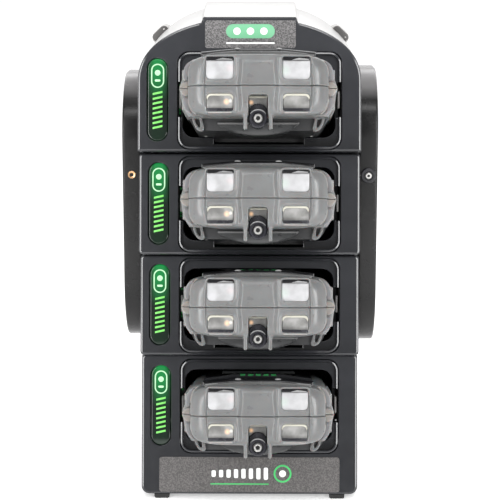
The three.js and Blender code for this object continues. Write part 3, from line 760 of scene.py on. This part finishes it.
def cradle():
    """Flange in two halves with its rim, then the tunnel that takes the detector, and six contacts."""
    parts = []
    for upper in (True, False):
        parts.append((plate([flange_outline(upper)], *FLANGE, 0.5, 2), CRADLE_PLASTIC))
        parts.append((cradle_rim(upper), RIM_PLASTIC, EDGE_SHINE))
    # The slot for the clip is cut in the flange only: the tunnel's floor is plain, and the clip cuts into it.
    outside = opening_outline(TUNNEL_WALL)
    tunnel = plate([outside, opening_outline()], FLANGE[1] - 0.5, TUNNEL_END, 0.0)
    back = plate([outside], TUNNEL_END, TUNNEL_END + TUNNEL_WALL, 0.3)
    x, z = OPENING["x"], OPENING["z"]
    top = z - OPENING["h"] / 2 - SLOT_DROP
    slot_floor = block(x - SLOT_HALF, x + SLOT_HALF, 6, 95, top - 1.4, top, 0.2)
    parts += [(mesh, TUNNEL_BLACK_AND_HOLE_SHADE) for mesh in (tunnel, back, slot_floor)]
    parts.append((block(x - 14, x + 14, 95.7, 98, z - 8, z + 2, 0.3), CRADLE_PLASTIC))
    pin = [(0, 95.3), (0.8, 95.3), (1.1, 95.7), (1.1, 96.5), (0, 96.5)]
    parts += [(turned(pin, x - 10 + 4 * i, z - 3, 20), BRASS) for i in range(6)]
    return parts + notch_parts()


def notch_parts():
    """Sprung catches and the lamps that glow in the notches beside the opening."""
    parts = []
    left, right = RECESS["x"] - RECESS["w"] / 2, RECESS["x"] + RECESS["w"] / 2
    for x in (left + 1.1, right - 1.3):
        parts.append((block(x - 0.55, x + 0.55, 4.5, 10, 26.2, 36.4, 0.3), HOOD_PLASTIC))
    for x0, x1 in ((left - 3, left + 0.3), (right - 0.3, right + 3)):
        parts.append((block(x0, x1, 12, 14, NOTCH[0] - 2, NOTCH[1] + 2, 0.2), TUNNEL_BLACK_AND_HOLE_SHADE))
    for z in (40.2, 25.6, 23.6):
        parts.append((block(left + 0.5, left + 1.2, 7.5, 9, z - 0.5, z + 0.5, 0.2), NOTCH_GLOW))
    return parts


def status_light():
    """Lens with a generic lit sign: a ring with a ball in it, over slanted bars."""
    x, z, w, h = LIGHT.values()
    face = 0.5
    lens = plate([round_rect(x, z, w, h, w / 2 - 0.01, 16)], face, 3.5, 0.8, 3)
    ring_z = z + h / 2 - 10.2
    ring = plate(
        [round_rect(x, ring_z, 7.8, 14.4, 3.89, 12), round_rect(x, ring_z, 6.3, 12.9, 3.14, 12)], *LENS_PRINT
    )
    ball = plate([round_rect(x, ring_z + 1.8, 3.4, 3.4, 1.69, 10)], *LENS_PRINT)
    dash = plate([round_rect(x, ring_z - 2.8, 3.4, 1.3, 0.6, 6)], *LENS_PRINT)
    parts = [(lens, LENS), (ring, GLYPH), (ball, GLYPH), (dash, GLYPH)]
    for i in range(8):
        low = ring_z - 10.6 - 2.9 * i
        bar = [(x - 2.9, low - 0.9), (x + 2.9, low + 0.4), (x + 2.9, low + 1.6), (x - 2.9, low + 0.3)]
        parts.append((plate([bar], *LENS_PRINT), GREEN_GLYPH))
    return parts


def badge():
    """Plate with a generic sign: a pale pill with three dots, and a thin line under it."""
    x, z, w, h = BADGE.values()
    parts = [(plate([round_rect(x, z, w, h, 1.6)], -0.25, 1.0, 0.2), BADGE_PLATE)]
    parts.append((plate([round_rect(x, z + 1.8, 29, 8.4, 4.19, 14)], *PRINT), PALE_GREEN))
    for i in (-1, 0, 1):
        dot = round_rect(x + 8 * i, z + 1.8, 4.4, 4.4, 2.19, 12)
        parts.append((plate([dot], -0.42, -0.2, 0.05), WHITE_PRINT))
    parts.append((plate([round_rect(x, z - 5.3, 29, 1.0, 0.49, 6)], *PRINT), WHITE_PRINT))
    return parts


def name_plate():
    """Wide plate with a generic scale: white bars, a green ring and a thin line."""
    x, z, w, h = NAME_PLATE.values()
    parts = [(plate([round_rect(x, z, w, h, 1.8)], -0.25, 1.0, 0.2), PLATE)]
    for i in range(8):
        bar = round_rect(x - 22 + 4.6 * i, z + 0.6, 2.6, 4.0 + 0.5 * i, 0.8, 5)
        parts.append((plate([bar], *PRINT), WHITE_PRINT))
    cx = x + 20.5
    ring = [round_rect(cx, z + 0.6, 11, 11, 5.49, 16), round_rect(cx, z + 0.6, 8.8, 8.8, 4.39, 16)]
    parts.append((plate(ring, *PRINT), MID_GREEN))
    parts.append((plate([round_rect(cx, z + 0.6, 4.2, 4.2, 2.09, 12)], *PRINT), WHITE_PRINT))
    parts.append((plate([round_rect(x - 6, z - 5.8, 36, 0.7, 0.34, 5)], *PRINT), MID_GREEN))
    return parts


# ---- tower: upright parts ----


def shell_lift(y, z):
    """How far the top shell swells at (y, z), most at the crown halfway back."""
    low, crown = 250.0, LIPS["top"] + ARCH["top"] / COS - FRAME_BACK * math.tan(TILT)
    along = 1 - ((y - 74.0) / 48.0) ** 2
    share = min(max((z - low) / (crown - low), 0.0), 1.0)
    return 8.5 * max(along, -1.05) * share


def top_shell():
    base = LIPS["top"] - FRAME_BACK * math.tan(TILT)
    bottom = (SHELL_BOTTOM + GAP - base) * COS
    stations = [(FRAME_BACK + GAP, 0.0), *[(y, 0.0) for y in np.linspace(30, REAR - 5, 22)]]
    stations += [(REAR - 5 + 5 * math.sin(t), 5 * (1 - math.cos(t))) for t in np.radians((20, 40, 60, 75, 90))]

    def skin(stations, bottom):
        rings = []
        for y, inset in stations:
            outline = arch(inset, bottom, 1 / COS)
            rings.append([(x, y, base + z + shell_lift(y, base + z)) for x, z in outline])
        return loft(rings)

    hollow = [(y, WALL) for y in np.linspace(FRAME_BACK - 2, REAR - 7, 24)]
    parts = [(boolean(skin(stations, bottom), [skin(hollow, bottom - 3)]), SHELL_PLASTIC)]
    for side in (-1, 1):
        parts += hood(side)
    return parts


def hood(side):
    """Raised hood on a shoulder of the shell, with a dark pad let into its front and a pale dot on the pad as
    a painted highlight.
    """
    place = Matrix.Translation((side * 55.4, 60, 280.6)) @ Matrix.Rotation(side * math.radians(44), 4, "Y")
    rings = []
    for y, shrink in (
        (0, 1.6), (0.5, 0.8), (1.4, 0.2), (2.4, 0), (17, 0), (20, 0.5), (22.4, 1.6), (23.6, 3.0), (24, 4.2)
    ):
        outline = round_rect(
            0, -0.4, 13.4 - 2 * shrink, 9.6 - 2 * shrink, (1.0, 1.0, 4.4 - shrink, 4.4 - shrink)
        )
        rings.append([(x, y, z) for x, z in outline])
    shell = loft(rings)
    pad = plate([round_rect(0, 1.0, 11.6, 5.6, 2.6)], -0.5, 2, 0.9, 4)
    # A pale dot on the pad is a painted highlight.
    dot = plate([round_rect(3.6, 1.7, 1.1, 0.8, 0.39, 6)], -0.6, 0, 0.1)
    for mesh in (shell, pad, dot):
        mesh.transform(place)
    return [(shell, HOOD_PLASTIC), (pad, HOOD_PAD), (dot, HOOD_PLASTIC)]


def rear_housing():
    """Walls behind the frames, open in front, with vents, a recessed panel and four screws in the back."""
    half = BODY_W / 2 - GAP
    low, high = FOOT_H + 4.3, SHELL_BOTTOM
    body = block(-half, half, FRAME_BACK + GAP, REAR, low, high, 1.6)
    cavity = block(-half + WALL, half - WALL, 0, REAR - 3.2, low - 1, high + 1)
    cuts = [cavity, block(-46, 46, REAR - 0.8, REAR + 1, 44, 100, 0.4)]
    for i in range(9):
        z = 122 + 8 * i
        outline = round_rect(0, z, 74, 3, 1.49, 8)
        cuts.append(plate([outline], REAR - 2.4, REAR + 1, 0.0))
    screws = []
    for x in (-58, 58):
        for z in (18, 218):
            well = turned([(0, REAR - 1.6), (3.4, REAR - 1.6), (3.6, REAR + 1), (0, REAR + 1)], x, z, 32)
            head = [
                (0, REAR - 1.0), (1.2, REAR - 1.0), (1.4, REAR - 0.5), (2.6, REAR - 0.5), (2.9, REAR - 0.8),
                (2.9, REAR - 1.6), (0, REAR - 1.6)
            ]
            cuts.append(well)
            screws.append((turned(head, x, z, 32), STEEL))
    return [(boolean(body, cuts), HOUSING_PLASTIC), *screws]


COVER = {"front": 28.0, "back": 138.0, "z": 172.5, "h": 175.0, "r": 40.0, "rb": 54.0, "x": 78.4, "inset": 2.8}


def side_cover(side):
    """Rounded plate on one flank, with a rim round a slightly lower panel."""
    c = COVER
    inset = c["inset"] if side < 0 else 0.0
    y0, y1 = c["front"] + inset / 2, c["back"] - inset
    h = c["h"] - 2 * inset

    def outline(shrink):
        radii = (c["r"] - shrink, c["rb"] - shrink, c["rb"] - shrink, c["r"] - shrink)
        return round_rect((y0 + y1) / 2, c["z"], y1 - y0 - 2 * shrink, h - 2 * shrink, radii, 24)

    x0, x1 = BODY_W / 2 + GAP, c["x"]
    rim = side_plate([outline(0), outline(9)], x0, x1, 1.3, 5)
    panel = side_plate([outline(8.5)], x0, x1 - 1.1, 0.8, 3)
    for mesh in (rim, panel):
        if side < 0:
            mesh.transform(Matrix.Diagonal((-1, 1, 1, 1)))
            mesh.flip_normals()
    return [(rim, COVER_PLASTIC), (panel, COVER_PLASTIC)]


PORT_X = (BODY_W / 2 + GAP + COVER["x"]) / 2
PORT_Z = 197.0


def gas_inlet_insert():
    y = COVER["front"] + COVER["inset"] / 2
    ring = turned(
        [(1.1, y + 2), (1.1, y - 0.2), (1.4, y - 0.4), (2.3, y - 0.4), (2.5, y), (2.5, y + 3), (1.1, y + 3),
        (1.1, y + 2)], -PORT_X, PORT_Z
    )
    # A near-black disc inside the bore is painted shade, so the hole reads dark.
    hole = turned([(0, y + 1.2), (1.15, y + 1.2), (1.15, y + 2.2), (0, y + 2.2)], -PORT_X, PORT_Z)
    return [(ring, BRASS), (hole, TUNNEL_BLACK_AND_HOLE_SHADE)]


def gas_outlet_port():
    y = COVER["front"]
    boss = turned(
        [(0, y - 1.0), (2.6, y - 1.0), (2.9, y - 1.8), (4.2, y - 1.8), (4.7, y - 1.3), (4.7, y - 0.1), (0,
        y - 0.1)], PORT_X, PORT_Z
    )
    nipple = turned(
        [(0.9, y - 1), (0.9, y - 2.6), (1.6, y - 2.6), (1.9, y - 2.3), (1.9, y - 1), (0.9, y - 1)], PORT_X,
        PORT_Z
    )
    # A near-black disc inside the bore is painted shade, so the hole reads dark.
    hole = turned([(0, y - 1.6), (0.95, y - 1.6), (0.95, y - 1.0), (0, y - 1.0)], PORT_X, PORT_Z)
    return [(boss, FITTING), (nipple, STEEL), (hole, TUNNEL_BLACK_AND_HOLE_SHADE)]


def power_jack():
    y = REAR + GAP
    barrel = turned(
        [(3.1, y - 8), (3.1, y + 1.2), (3.4, y + 1.6), (7.0, y + 1.6), (7.4, y + 1.2), (7.4, y), (5.4, y),
        (5.4, y - 9), (3.1, y - 9), (3.1, y - 8)], -40, 26
    )
    pin = turned([(0, y - 9), (1.0, y - 9), (1.0, y - 0.4), (0.7, y), (0, y)], -40, 26)
    return [(barrel, FITTING), (pin, STEEL)]


def foot(side):
    x = side * 54
    outline = round_rect(x, (FOOT_H - GAP) / 2, 9.4, FOOT_H - GAP, (1.3, 1.3, 0.3, 0.3), 6)
    return [(plate([outline], FOOT_FRONT, FOOT_BACK, 0.25), FOOT_RUBBER)]


def charging_board():
    return [(block(-48, 48, 113, 114.6, 12, 232, 0.1), BOARD)]


def floor_pan():
    half = BODY_W / 2
    return block(-half, half, 4, REAR, FOOT_H, FOOT_H + 4, 0.5)


# ---- detector ----

FRONT = -75.0
TAIL = 95.0
UPPER_HALF = [
    (44.4, 0.15), (43.8, 2.6), (42.5, 6.2), (41.9, 11.0), (39.6, 14.9), (36.0, 16.9), (31.0, 17.6),
    (14.0, 20.1), (0.0, 20.1)
]
LOWER_HALF = [
    (44.4, -0.15), (43.4, -3.6), (43.0, -8.0), (41.4, -12.2), (38.6, -16.2), (37.2, -20.0), (33.0, -22.4),
    (14.0, -22.4), (0.0, -22.4)
]


def superellipse(a, b, power, upper, steps=40):
    """Half of a boxy oval, from the right parting point over to the left one."""
    points = []
    for t in np.linspace(0, math.pi, steps):
        c, s = math.cos(t), math.sin(t)
        x = a * math.copysign(abs(c) ** (2 / power), c)
        z = b * abs(s) ** (2 / power)
        points.append((x, z if upper else -z))
    return points


WINDOW_HIGH = (21, 9.8, 15.4, 12.2, (2.6, 2.6, 1.0, 1.0))
WINDOW_LOW = (21, -9.2, 14.8, 9.6, (0.8, 0.8, 2.4, 2.4))

GRIP_PADS_UP = (
    (
        [(39.3, 4.5), (41.7, 4.1), (42.2, 6.4), (41.7, 10.4), (40.5, 13.2), (38.4, 14.9), (36.6, 15.4), (38.3,
        12.2), (39.2, 8.0)], 0.0, BOOT_EDGE
    ),
    ([(38.9, 0.15), (44.3, 0.15), (43.3, 1.9), (42.0, 3.2), (38.9, 3.6)], 0.5, NOSE_LIP),
)
GRIP_PADS_LOW = (
    (
        [(39.2, -5.4), (41.7, -5.2), (42.3, -7.0), (41.7, -10.4), (40.3, -12.8), (38.2, -14.4), (36.6, -14.9),
        (38.4, -11.6), (39.1, -8.0)], 0.0, BOOT_EDGE
    ),
    ([(38.9, -0.15), (44.3, -0.15), (43.3, -1.9), (42.0, -4.0), (38.9, -4.5)], 0.5, NOSE_LIP),
)


def crowned(mesh):
    """The mesh bowed in plan, so that the nose falls back towards its sides."""
    for vertex in mesh.vertices:
        share = min(max((-60 - vertex.co.y) / 12, 0), 1)
        vertex.co.y += 2.0 * share * (vertex.co.x / 38) ** 2
    return mesh


def collar(upper):
    """Pads round the front edge of the grip and the lip of the nose."""
    pads = GRIP_PADS_UP if upper else GRIP_PADS_LOW
    parts = []
    for side in (-1, 1):
        for points, lift, material in pads:
            closed = corner_cut([(side * x, z) for x, z in points + points[:1]][::side], 2)[:-1]
            parts.append((plate([closed], -59.2 - lift, -56, 0.55, 4), material))
        whole = superellipse(39.1, 18.9 if upper else 16.9, 4.8, upper)
        rim = [(x, z) for x, z in whole if side * x > 34 and abs(z) > 0.1]
        profile = [(-0.35, -57), (-0.35, -59.6), (-0.15, -59.9), (0.2, -59.9), (0.4, -59.6), (0.4, -57)]
        parts.append((swept(rim, profile), NOSE_LIP))
    return parts


def nose_half(upper):
    """The soft nose of the case, above or below the parting plane, with its windows and inlet slot."""
    gap = 0.035 if upper else -0.035
    rings = []
    radius = 6.5
    stations = [
        (FRONT + radius * (1 - math.cos(t)), radius * (1 - math.sin(t))) for t in np.radians(range(0, 91, 10))
    ]
    stations += [(-64.0, 0.0), (-59.6, 0.0), (-58.4, 0.5), (-58.0, 1.4)]
    for y, inset in stations:
        rise = max(0.0, (y + 68.5) / 10.5)
        height = (18.0 + 1.2 * rise) if upper else 16.9
        outline = superellipse(38.9 - 1.2 * inset, height - inset, 4.8, upper)
        rings.append([(x, y, z + gap) for x, z in outline])
    solid = loft(rings)
    cuts, lips, windows = [], [], []
    for side in (-1, 1):
        x, z, w, h, radii = WINDOW_HIGH if upper else WINDOW_LOW
        windows.append(plate([round_rect(side * x, z, w, h, radii)], -77, -70.6, 0.0))
        around = tuple(r + 1.2 for r in radii)
        lips.append(plate([round_rect(side * x, z, w + 2.2, h + 2.2, around)], FRONT + 1.25, -71, 0.0))
        ends = (-1, 30) if upper else (-30, 1)
        rings = [
            [(x, y, z) for x, z in channel(side, *ends, grow)] for y, grow in ((-77, 4.2), (FRONT + 1.8, 0))
        ]
        cuts.append(loft(rings))
    if not upper:
        prongs = [
            block(min(s * 5.9, s * 8.1), max(s * 5.9, s * 8.1), -72.5, -66, -24, -12, 0.5) for s in (-1, 1)
        ]
        solid = boolean(solid, prongs, "UNION")
        slot = round_rect(0, -17.5, 10.6, 25, (0.1, 0.1, 1.8, 1.8))
        windows.append(plate([slot], -77, -57, 0.0))
    solid = boolean(boolean(boolean(solid, cuts), lips, "UNION"), windows)
    return crowned(softened(solid, 0.5, 6, 0.42))


def channel(side, z0, z1, grow):
    """Outline of the upright channel round the windows, with a bowed inner side."""
    inner = [
        (11.8 - grow - 1.2 * math.sin(math.radians(t)), z0 + (z1 - z0) * t / 180) for t in range(0, 181, 15)
    ]
    points = [(29.2 + 0.25 * grow, z0), (29.2 + 0.25 * grow, z1)] + inner[::-1]
    return [(side * x, z) for x, z in points][:: side]


def body_half(upper):
    """The long part of the case behind the nose."""
    half = corner_cut(UPPER_HALF if upper else LOWER_HALF, 2)
    whole = half + [(-x, z) for x, z in reversed(half[:-1])]
    stations = [
        (-58.6, 0.955, 0.93), (-57.6, 0.975, 0.965), (-56.2, 0.99, 0.99), (-54, 1, 1), (-20, 1, 1),
        (30, 1, 1), (84, 1, 1)
    ]
    stations += [
        (84 + 11 * math.sin(t), 1 - 0.13 * (1 - math.cos(t)),
        1 - 0.3 * (1 - math.cos(t))) for t in np.radians((15, 30, 45, 60, 75, 90))
    ]
    return loft([[(x * wide, y, z * high) for x, z in whole] for y, wide, high in stations])


def front_case():
    hole = [(0, 10), (KEY_R + 0.35, 10), (KEY_R + 0.35, 30), (0, 30)]
    body = boolean(body_half(True), [stood(turned(hole, steps=32), x, KEY_Y, 0) for x in KEY_X])
    return [(nose_half(True), BOOT), (body, BOOT)] + ribs(1) + collar(True)


def ribs(sign):
    """Grip ribs on both flanks."""
    parts = []
    for side in (-1, 1):
        for i in range(12):
            y = -50 + 8 * i
            z0, z1 = sorted((sign * 3.4, sign * 11.5))
            x0, x1 = sorted((side * 40.0, side * 43.1))
            parts.append((block(x0, x1, y, y + 3.6, z0, z1, 0.7, 2), BOOT))
    return parts


KEY_X = (-17.0, 0.0, 17.0)
KEY_Y = 34.0
KEY_R = 4.6
KEY_TOP = 20.95


def key():
    """A round key with a slightly dished top, standing on the detector's own axis."""
    r, top = KEY_R, KEY_TOP
    profile = [
        (0, 13.4), (r, 13.4), (r, top - 0.7), (r - 0.25, top - 0.2), (r - 0.8, top), (1.6, top - 0.15),
        (0, top - 0.2)
    ]
    return stood(turned(profile, steps=36), 0, 0, 0)


SCREW = [(0, 0.6), (1.3, 0.6), (1.5, 0.0), (2.4, 0.0), (2.7, 0.4), (2.7, 2), (0, 2)]


def rear_case():
    body = body_half(False)
    lower = boolean(body, [block(-60, 60, -70, 110, -15.6, 20)])
    upper = boolean(body, [block(-60, 60, -70, 110, -40, -15.6)])
    cut = block(-60, 60, -70, -44, -40, -15)
    lower = boolean(lower, [cut])
    parts = [(nose_half(False), BOOT), (upper, BOOT), (lower, BELLY)]
    for side in (-1, 1):
        parts.append((lug(side), BOOT))
        for y in (0, 84):
            parts.append((stood(turned(SCREW, steps=28), side * 30, y, -22.2), STEEL))
    for i in range(6):
        pad = turned(
            [(0, TAIL - 0.3), (1.4, TAIL - 0.3), (1.4, TAIL + 0.25), (0, TAIL + 0.25)], -10 + 4.0 * i, -3.2,
            20
        )
        parts.append((pad, BRASS))
    return parts + ribs(-1) + collar(False)


def lug(side):
    """Loop of the boot round a lower corner of the case."""
    points = [
        (37.6, -13.5), (37.3, -17.0), (36.2, -19.9), (34.8, -22.1), (32.2, -23.2), (30.4, -22.0),
        (31.0, -19.2), (31.8, -16.5), (32.0, -13.5)
    ]
    outline = corner_cut([(side * x, z) for x, z in points][:: side], 2)
    hole = corner_cut(
        [(side * x, z) for x, z in ((35.8, -15.8), (35.5, -17.8), (34.2, -20.4), (33.0, -20.8), (32.9, -18.8),
        (33.4, -16.2))][:: side], 1
    )
    return plate([outline, hole], -47, -40, 0.5, 3)


def screen():
    """Glossy window over the front of the case: flat in the middle, sloping at the sides."""
    def section(drop, inset):
        right = [(31.8 - inset, 17.6 - drop), (31.8 - inset, 19.5 - drop), (13.5, 21.2 - drop)]
        left = [(-x, z) for x, z in reversed(right)]
        return right + left

    rings = []
    for y, drop, inset in (
        (-68.2, 1.6, 1.4), (-67.6, 0.7, 0.6), (-66.4, 0.15, 0.1), (-64, 0, 0), (16, 0, 0), (17.6, 0.3, 0.4),
        (18.2, 1.2, 1.2)
    ):
        rings.append([(x, y, z) for x, z in section(drop, inset)])
    parts = [(loft(rings), GLOSS_BLACK)]
    # The grey brow over the screen's front slope is a painted reflection, paler than the glossy black beside
    # it.
    brow = [(-31.2, 17.0), (31.2, 17.0), (31.0, 17.7), (12, 19.5), (-12, 19.5), (-31.0, 17.7)]
    parts.append((plate([brow], -68.5, -67, 0.3, 3), BROW_PAINTED_REFLECTION))
    for x in (-11.5, 11.5):
        dome = turned([(0, 0), (1.9, 0), (1.8, 0.4), (1.1, 0.8), (0, 0.95)], steps=24)
        parts.append((stood(dome, x, -66.3, 20.6), LED_LENS_AND_PAINTED_HIGHLIGHT))
    parts.append((block(-22, 22, -20, 14, 21.0, 21.24, 0.08), DISPLAY))
    for row in range(2):
        for i in range(5):
            x, y = -9.2 + 4.6 * i, -42 + 8.5 * row
            parts.append((block(x - 1.5, x + 1.5, y, y + 5.5, 21.1, 21.26, 0.05), MID_GREEN))
    return parts


def light_guide():
    """What shows in the windows of the nose."""
    parts = []
    for side in (-1, 1):
        x, z, w, h, radii = WINDOW_HIGH
        x *= side
        parts.append((plate([round_rect(x, z - 0.3, w, h, radii)], -72.0, -70, 0.5, 4), UPPER_PAD))
        parts.append((block(x - 7.4, x + 7.4, -72.8, -71, 13.8, 15.9, 0.3), GLOSS_BLACK))
        # A pale sliver on the dark strip at the top of each upper window is a painted highlight.
        glint = [(x - 2.5, 14.1), (x + 6.8, 14.1), (x + 6.8, 14.6), (x + 1.5, 15.2)]
        parts.append((plate([glint], -72.95, -72.5, 0.1), LED_LENS_AND_PAINTED_HIGHLIGHT))
        x, z, w, h, radii = WINDOW_LOW
        x *= side
        outline = round_rect(x, z, w, h, radii)
        parts.append((plate([outline], -72.0, -70, 0.5, 4), LOWER_PAD))
        top = [p for p in outline if p[1] > z + 2.0]
        top.sort(key=lambda p: math.atan2(p[1] - z, p[0] - x))
        under = [(x + 0.92 * (px - x), pz - 1.15) for px, pz in reversed(top)]
        parts.append((plate([top + under], -72.7, -71.5, 0.3, 3), CREAM))
        parts.append((block(x - 7.4, x + 7.4, -72.6, -71, -14.0, -12.4, 0.2), FITTING))
        # A pale bar along the ledge under each lower window is a painted highlight.
        parts.append((block(x - 6.6, x + 6.6, -73.4, -72, -15.2, -14.6, 0.28), BOOT_EDGE))
    parts.append((block(-5.1, 5.1, -66, -60, -14, -5.2, 0.5), LOWER_PAD))
    parts.append((block(-5.1, 5.1, -67.5, -62, -6.3, -5.2, 0.3), CREAM))
    return parts


def pump_inlet():
    r, z = 5.2, -17.8
    arch_top = [(-r, -20.0), (r, -20.0)] + arc(0, -14.6, r, 0, 180, 20)
    hood_part = plate([arch_top], -68.0, -52, 0.5, 3)
    boss = turned([(0, -69.4), (3.2, -69.4), (3.5, -70.5), (4.6, -70.5), (r, -69.9), (r, -60), (0, -60)], 0, z)
    nipple = turned(
        [(1.25, -71), (1.25, -72.6), (1.45, -72.8), (2.0, -72.8), (2.4, -72.3), (2.4, -69.2), (1.25, -69.2),
        (1.25, -71)], 0, z
    )
    # A near-black disc inside the bore is painted shade, so the hole reads dark.
    hole = turned([(0, -70.4), (1.3, -70.4), (1.3, -69.2), (0, -69.2)], 0, z)
    # A pale crescent on the top of the boss is a painted highlight.
    crescent = [(x, z) for x, z in arc(0, z, 5.1, 35, 145, 15)] + [
        (x, z) for x, z in arc(0, z - 0.9, 5.3, 145, 35, 15)
    ]
    shine = plate([crescent], -70.7, -69.6, 0.15)
    return [(hood_part, FITTING), (boss, FITTING), (nipple, STEEL), (hole, TUNNEL_BLACK_AND_HOLE_SHADE), (shine, LED_LENS_AND_PAINTED_HIGHLIGHT)]


def belt_clip():
    """Bowed clip: its underside is deepest in the middle and it narrows to its tail."""
    rings = []
    for y, w, deep in (
        (-44.5, 22.4, 5.6), (-43.8, 23.2, 6.6), (-42, 23.6, 7.0), (0, 23.6, 4.6), (44, 22, 4.4),
        (54, 18, 4.2), (58, 12, 4.0)
    ):
        low = [(w * math.cos(t), -18.4 - deep * math.sin(t) ** 1.2) for t in np.linspace(0, math.pi, 25)]
        high = [(x, -18.2 if abs(x) > w - 1 else -18.1) for x, _ in reversed(low)]
        rings.append([(x, y, z) for x, z in low + high])
    # The lip is painted paler than the clip: a painted highlight along its top edge.
    lip = block(-23.2, 23.2, -46.2, -44.4, -19.0, -17.7, 0.5)
    return [(loft(rings), CLIP_PAINT), (lip, CLIP_LIP_PAINTED_HIGHLIGHT)]


# ---- assembly ----

FRAMES = {"base": base_frame, "lower": middle_frame, "upper": middle_frame, "top": top_frame}
CRADLE, STATUS_LIGHT = cradle(), status_light()
DETECTOR = {
    "front_case": (front_case(), "case_grey"),
    "rear_case": (rear_case(), "case_grey"),
    "screen": (screen(), "screen"),
    "light_guide": (light_guide(), "light_guide"),
    "pump_inlet": (pump_inlet(), "dark_fitting"),
    "belt_clip": (belt_clip(), "clip_steel"),
}
KEY_CAP = key()

for bay_key, make_frame in FRAMES.items():
    place = bay(bay_key)
    piece(f"{bay_key}_frame_face", make_frame(), place, "tower", [f"{bay_key}_frame"], 13)
    piece(f"{bay_key}_bay", CRADLE, place, "tower", [f"{bay_key}_cradle"], 13)
    piece(f"{bay_key}_light", STATUS_LIGHT, place, "tower", [f"{bay_key}_status_light"])
    name = f"{bay_key}_detector"
    at = detector_frame(bay_key)
    for part_name, (parts, slot) in DETECTOR.items():
        piece(
            f"{name}_{part_name}_look", [(m.copy(), mat) for m, mat in parts], at, name,
            [f"{name}_{part_name}"]
        )
    for side, x in zip(("left", "middle", "right"), KEY_X):
        node = f"{name}_{side}_key"
        cap = KEY_CAP.copy()
        cap.transform(Matrix.Translation((x, KEY_Y, 0)))
        piece(f"{node}_cap", [(cap, KEY_RUBBER)], at, node, [node])

stand = upright()
piece("badge_plate", badge(), bay("top"), "tower", ["top_badge"])
piece("wide_plate", name_plate(), bay("base"), "tower", ["name_plate"])
piece("shell_top", top_shell(), stand, "tower", ["top_shell"], 50)
piece("housing", rear_housing(), stand, "tower", ["rear_housing"])
piece("base_pan", [(floor_pan(), FRAME_PLASTIC)], stand, "tower", [])
piece("left_cover", side_cover(-1), stand, "tower", ["left_side_cover"])
piece("right_cover", side_cover(1), stand, "tower", ["right_side_cover"])
piece("inlet_insert", gas_inlet_insert(), stand, "tower", ["gas_inlet_insert"])
piece("outlet_port", gas_outlet_port(), stand, "tower", ["gas_outlet_port"])
piece("jack", power_jack(), stand, "tower", ["power_jack"])
piece("board", charging_board(), stand, "tower", ["charging_board"])
piece("foot_left", foot(-1), stand, "tower", ["left_foot"])
piece("foot_right", foot(1), stand, "tower", ["right_foot"])

# ---- stage, light and camera ----


def floor():
    bpy.ops.mesh.primitive_plane_add(size=12)
    plane = bpy.context.object
    plane.name = "floor"
    white = moulded("floor_white", (0.88, 0.88, 0.88), (0.9, 0.9, 0.9), (0.6, 0.7), 200, 0.0001)
    white.node_tree.nodes["Principled BSDF"].inputs["Emission Color"].default_value = (1, 1, 1, 1)
    white.node_tree.nodes["Principled BSDF"].inputs["Emission Strength"].default_value = 0.4
    plane.data.materials.append(white)


def softbox(name, at, target, size, power):
    light = bpy.data.lights.new(name, "AREA")
    light.shape = "RECTANGLE"
    light.size, light.size_y = size
    light.energy = power
    obj = bpy.data.objects.new(name, light)
    bpy.context.scene.collection.objects.link(obj)
    obj.location = at
    obj.rotation_euler = (Vector(target) - Vector(at)).to_track_quat("-Z", "Y").to_euler()


def camera():
    yaw, pitch, distance = math.radians(0.65), math.radians(10.93), 0.95
    target = Vector((0.0004, -0.0362, 0.1556))
    forward = Vector((-math.sin(yaw) * math.cos(pitch), math.cos(yaw) * math.cos(pitch), -math.sin(pitch)))
    data = bpy.data.cameras.new("camera")
    data.lens = 113.7
    data.sensor_width = 36
    obj = bpy.data.objects.new("camera", data)
    bpy.context.scene.collection.objects.link(obj)
    obj.location = target - forward * distance
    obj.rotation_euler = forward.to_track_quat("-Z", "Y").to_euler()
    bpy.context.scene.camera = obj


floor()
centre = (0, 0, 0.16)
softbox("left_strip", (-0.66, -1.1, 0.32), centre, (0.34, 1.2), 13.8)
softbox("right_strip", (0.66, -1.1, 0.32), centre, (0.34, 1.2), 13.8)
softbox("left_side", (-1.3, -0.1, 0.3), centre, (0.4, 1.0), 1.4)
softbox("right_side", (1.3, -0.1, 0.3), centre, (0.4, 1.0), 1.4)
softbox("top_box", (0, -0.1, 1.5), centre, (1.2, 0.8), 3.0)
softbox("back_top", (0, 1.0, 1.0), centre, (1.4, 0.4), 4.0)
softbox("front_top", (0, -0.85, 1.19), (0, 0, 0.29), (1.2, 0.14), 5.0)
camera()


def studio():
    """A white room, dimmer on the camera's side."""
    world = bpy.data.worlds.new("studio")
    bpy.context.scene.world = world
    world.use_nodes = True
    nodes, links = world.node_tree.nodes, world.node_tree.links
    coords = nodes.new("ShaderNodeTexCoord")
    parts = nodes.new("ShaderNodeSeparateXYZ")
    links.new(coords.outputs["Generated"], parts.inputs["Vector"])
    strength = spread(nodes, links, parts.outputs["Y"], 0.42, 1.05, -0.5, 0.5)
    nodes["Background"].inputs["Color"].default_value = (1, 1, 1, 1)
    links.new(strength, nodes["Background"].inputs["Strength"])


studio()
bpy.context.scene.view_settings.view_transform = "Standard"

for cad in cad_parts.values():
    if not cad.hide_render:
        print("CAD node still shown:", cad.name)
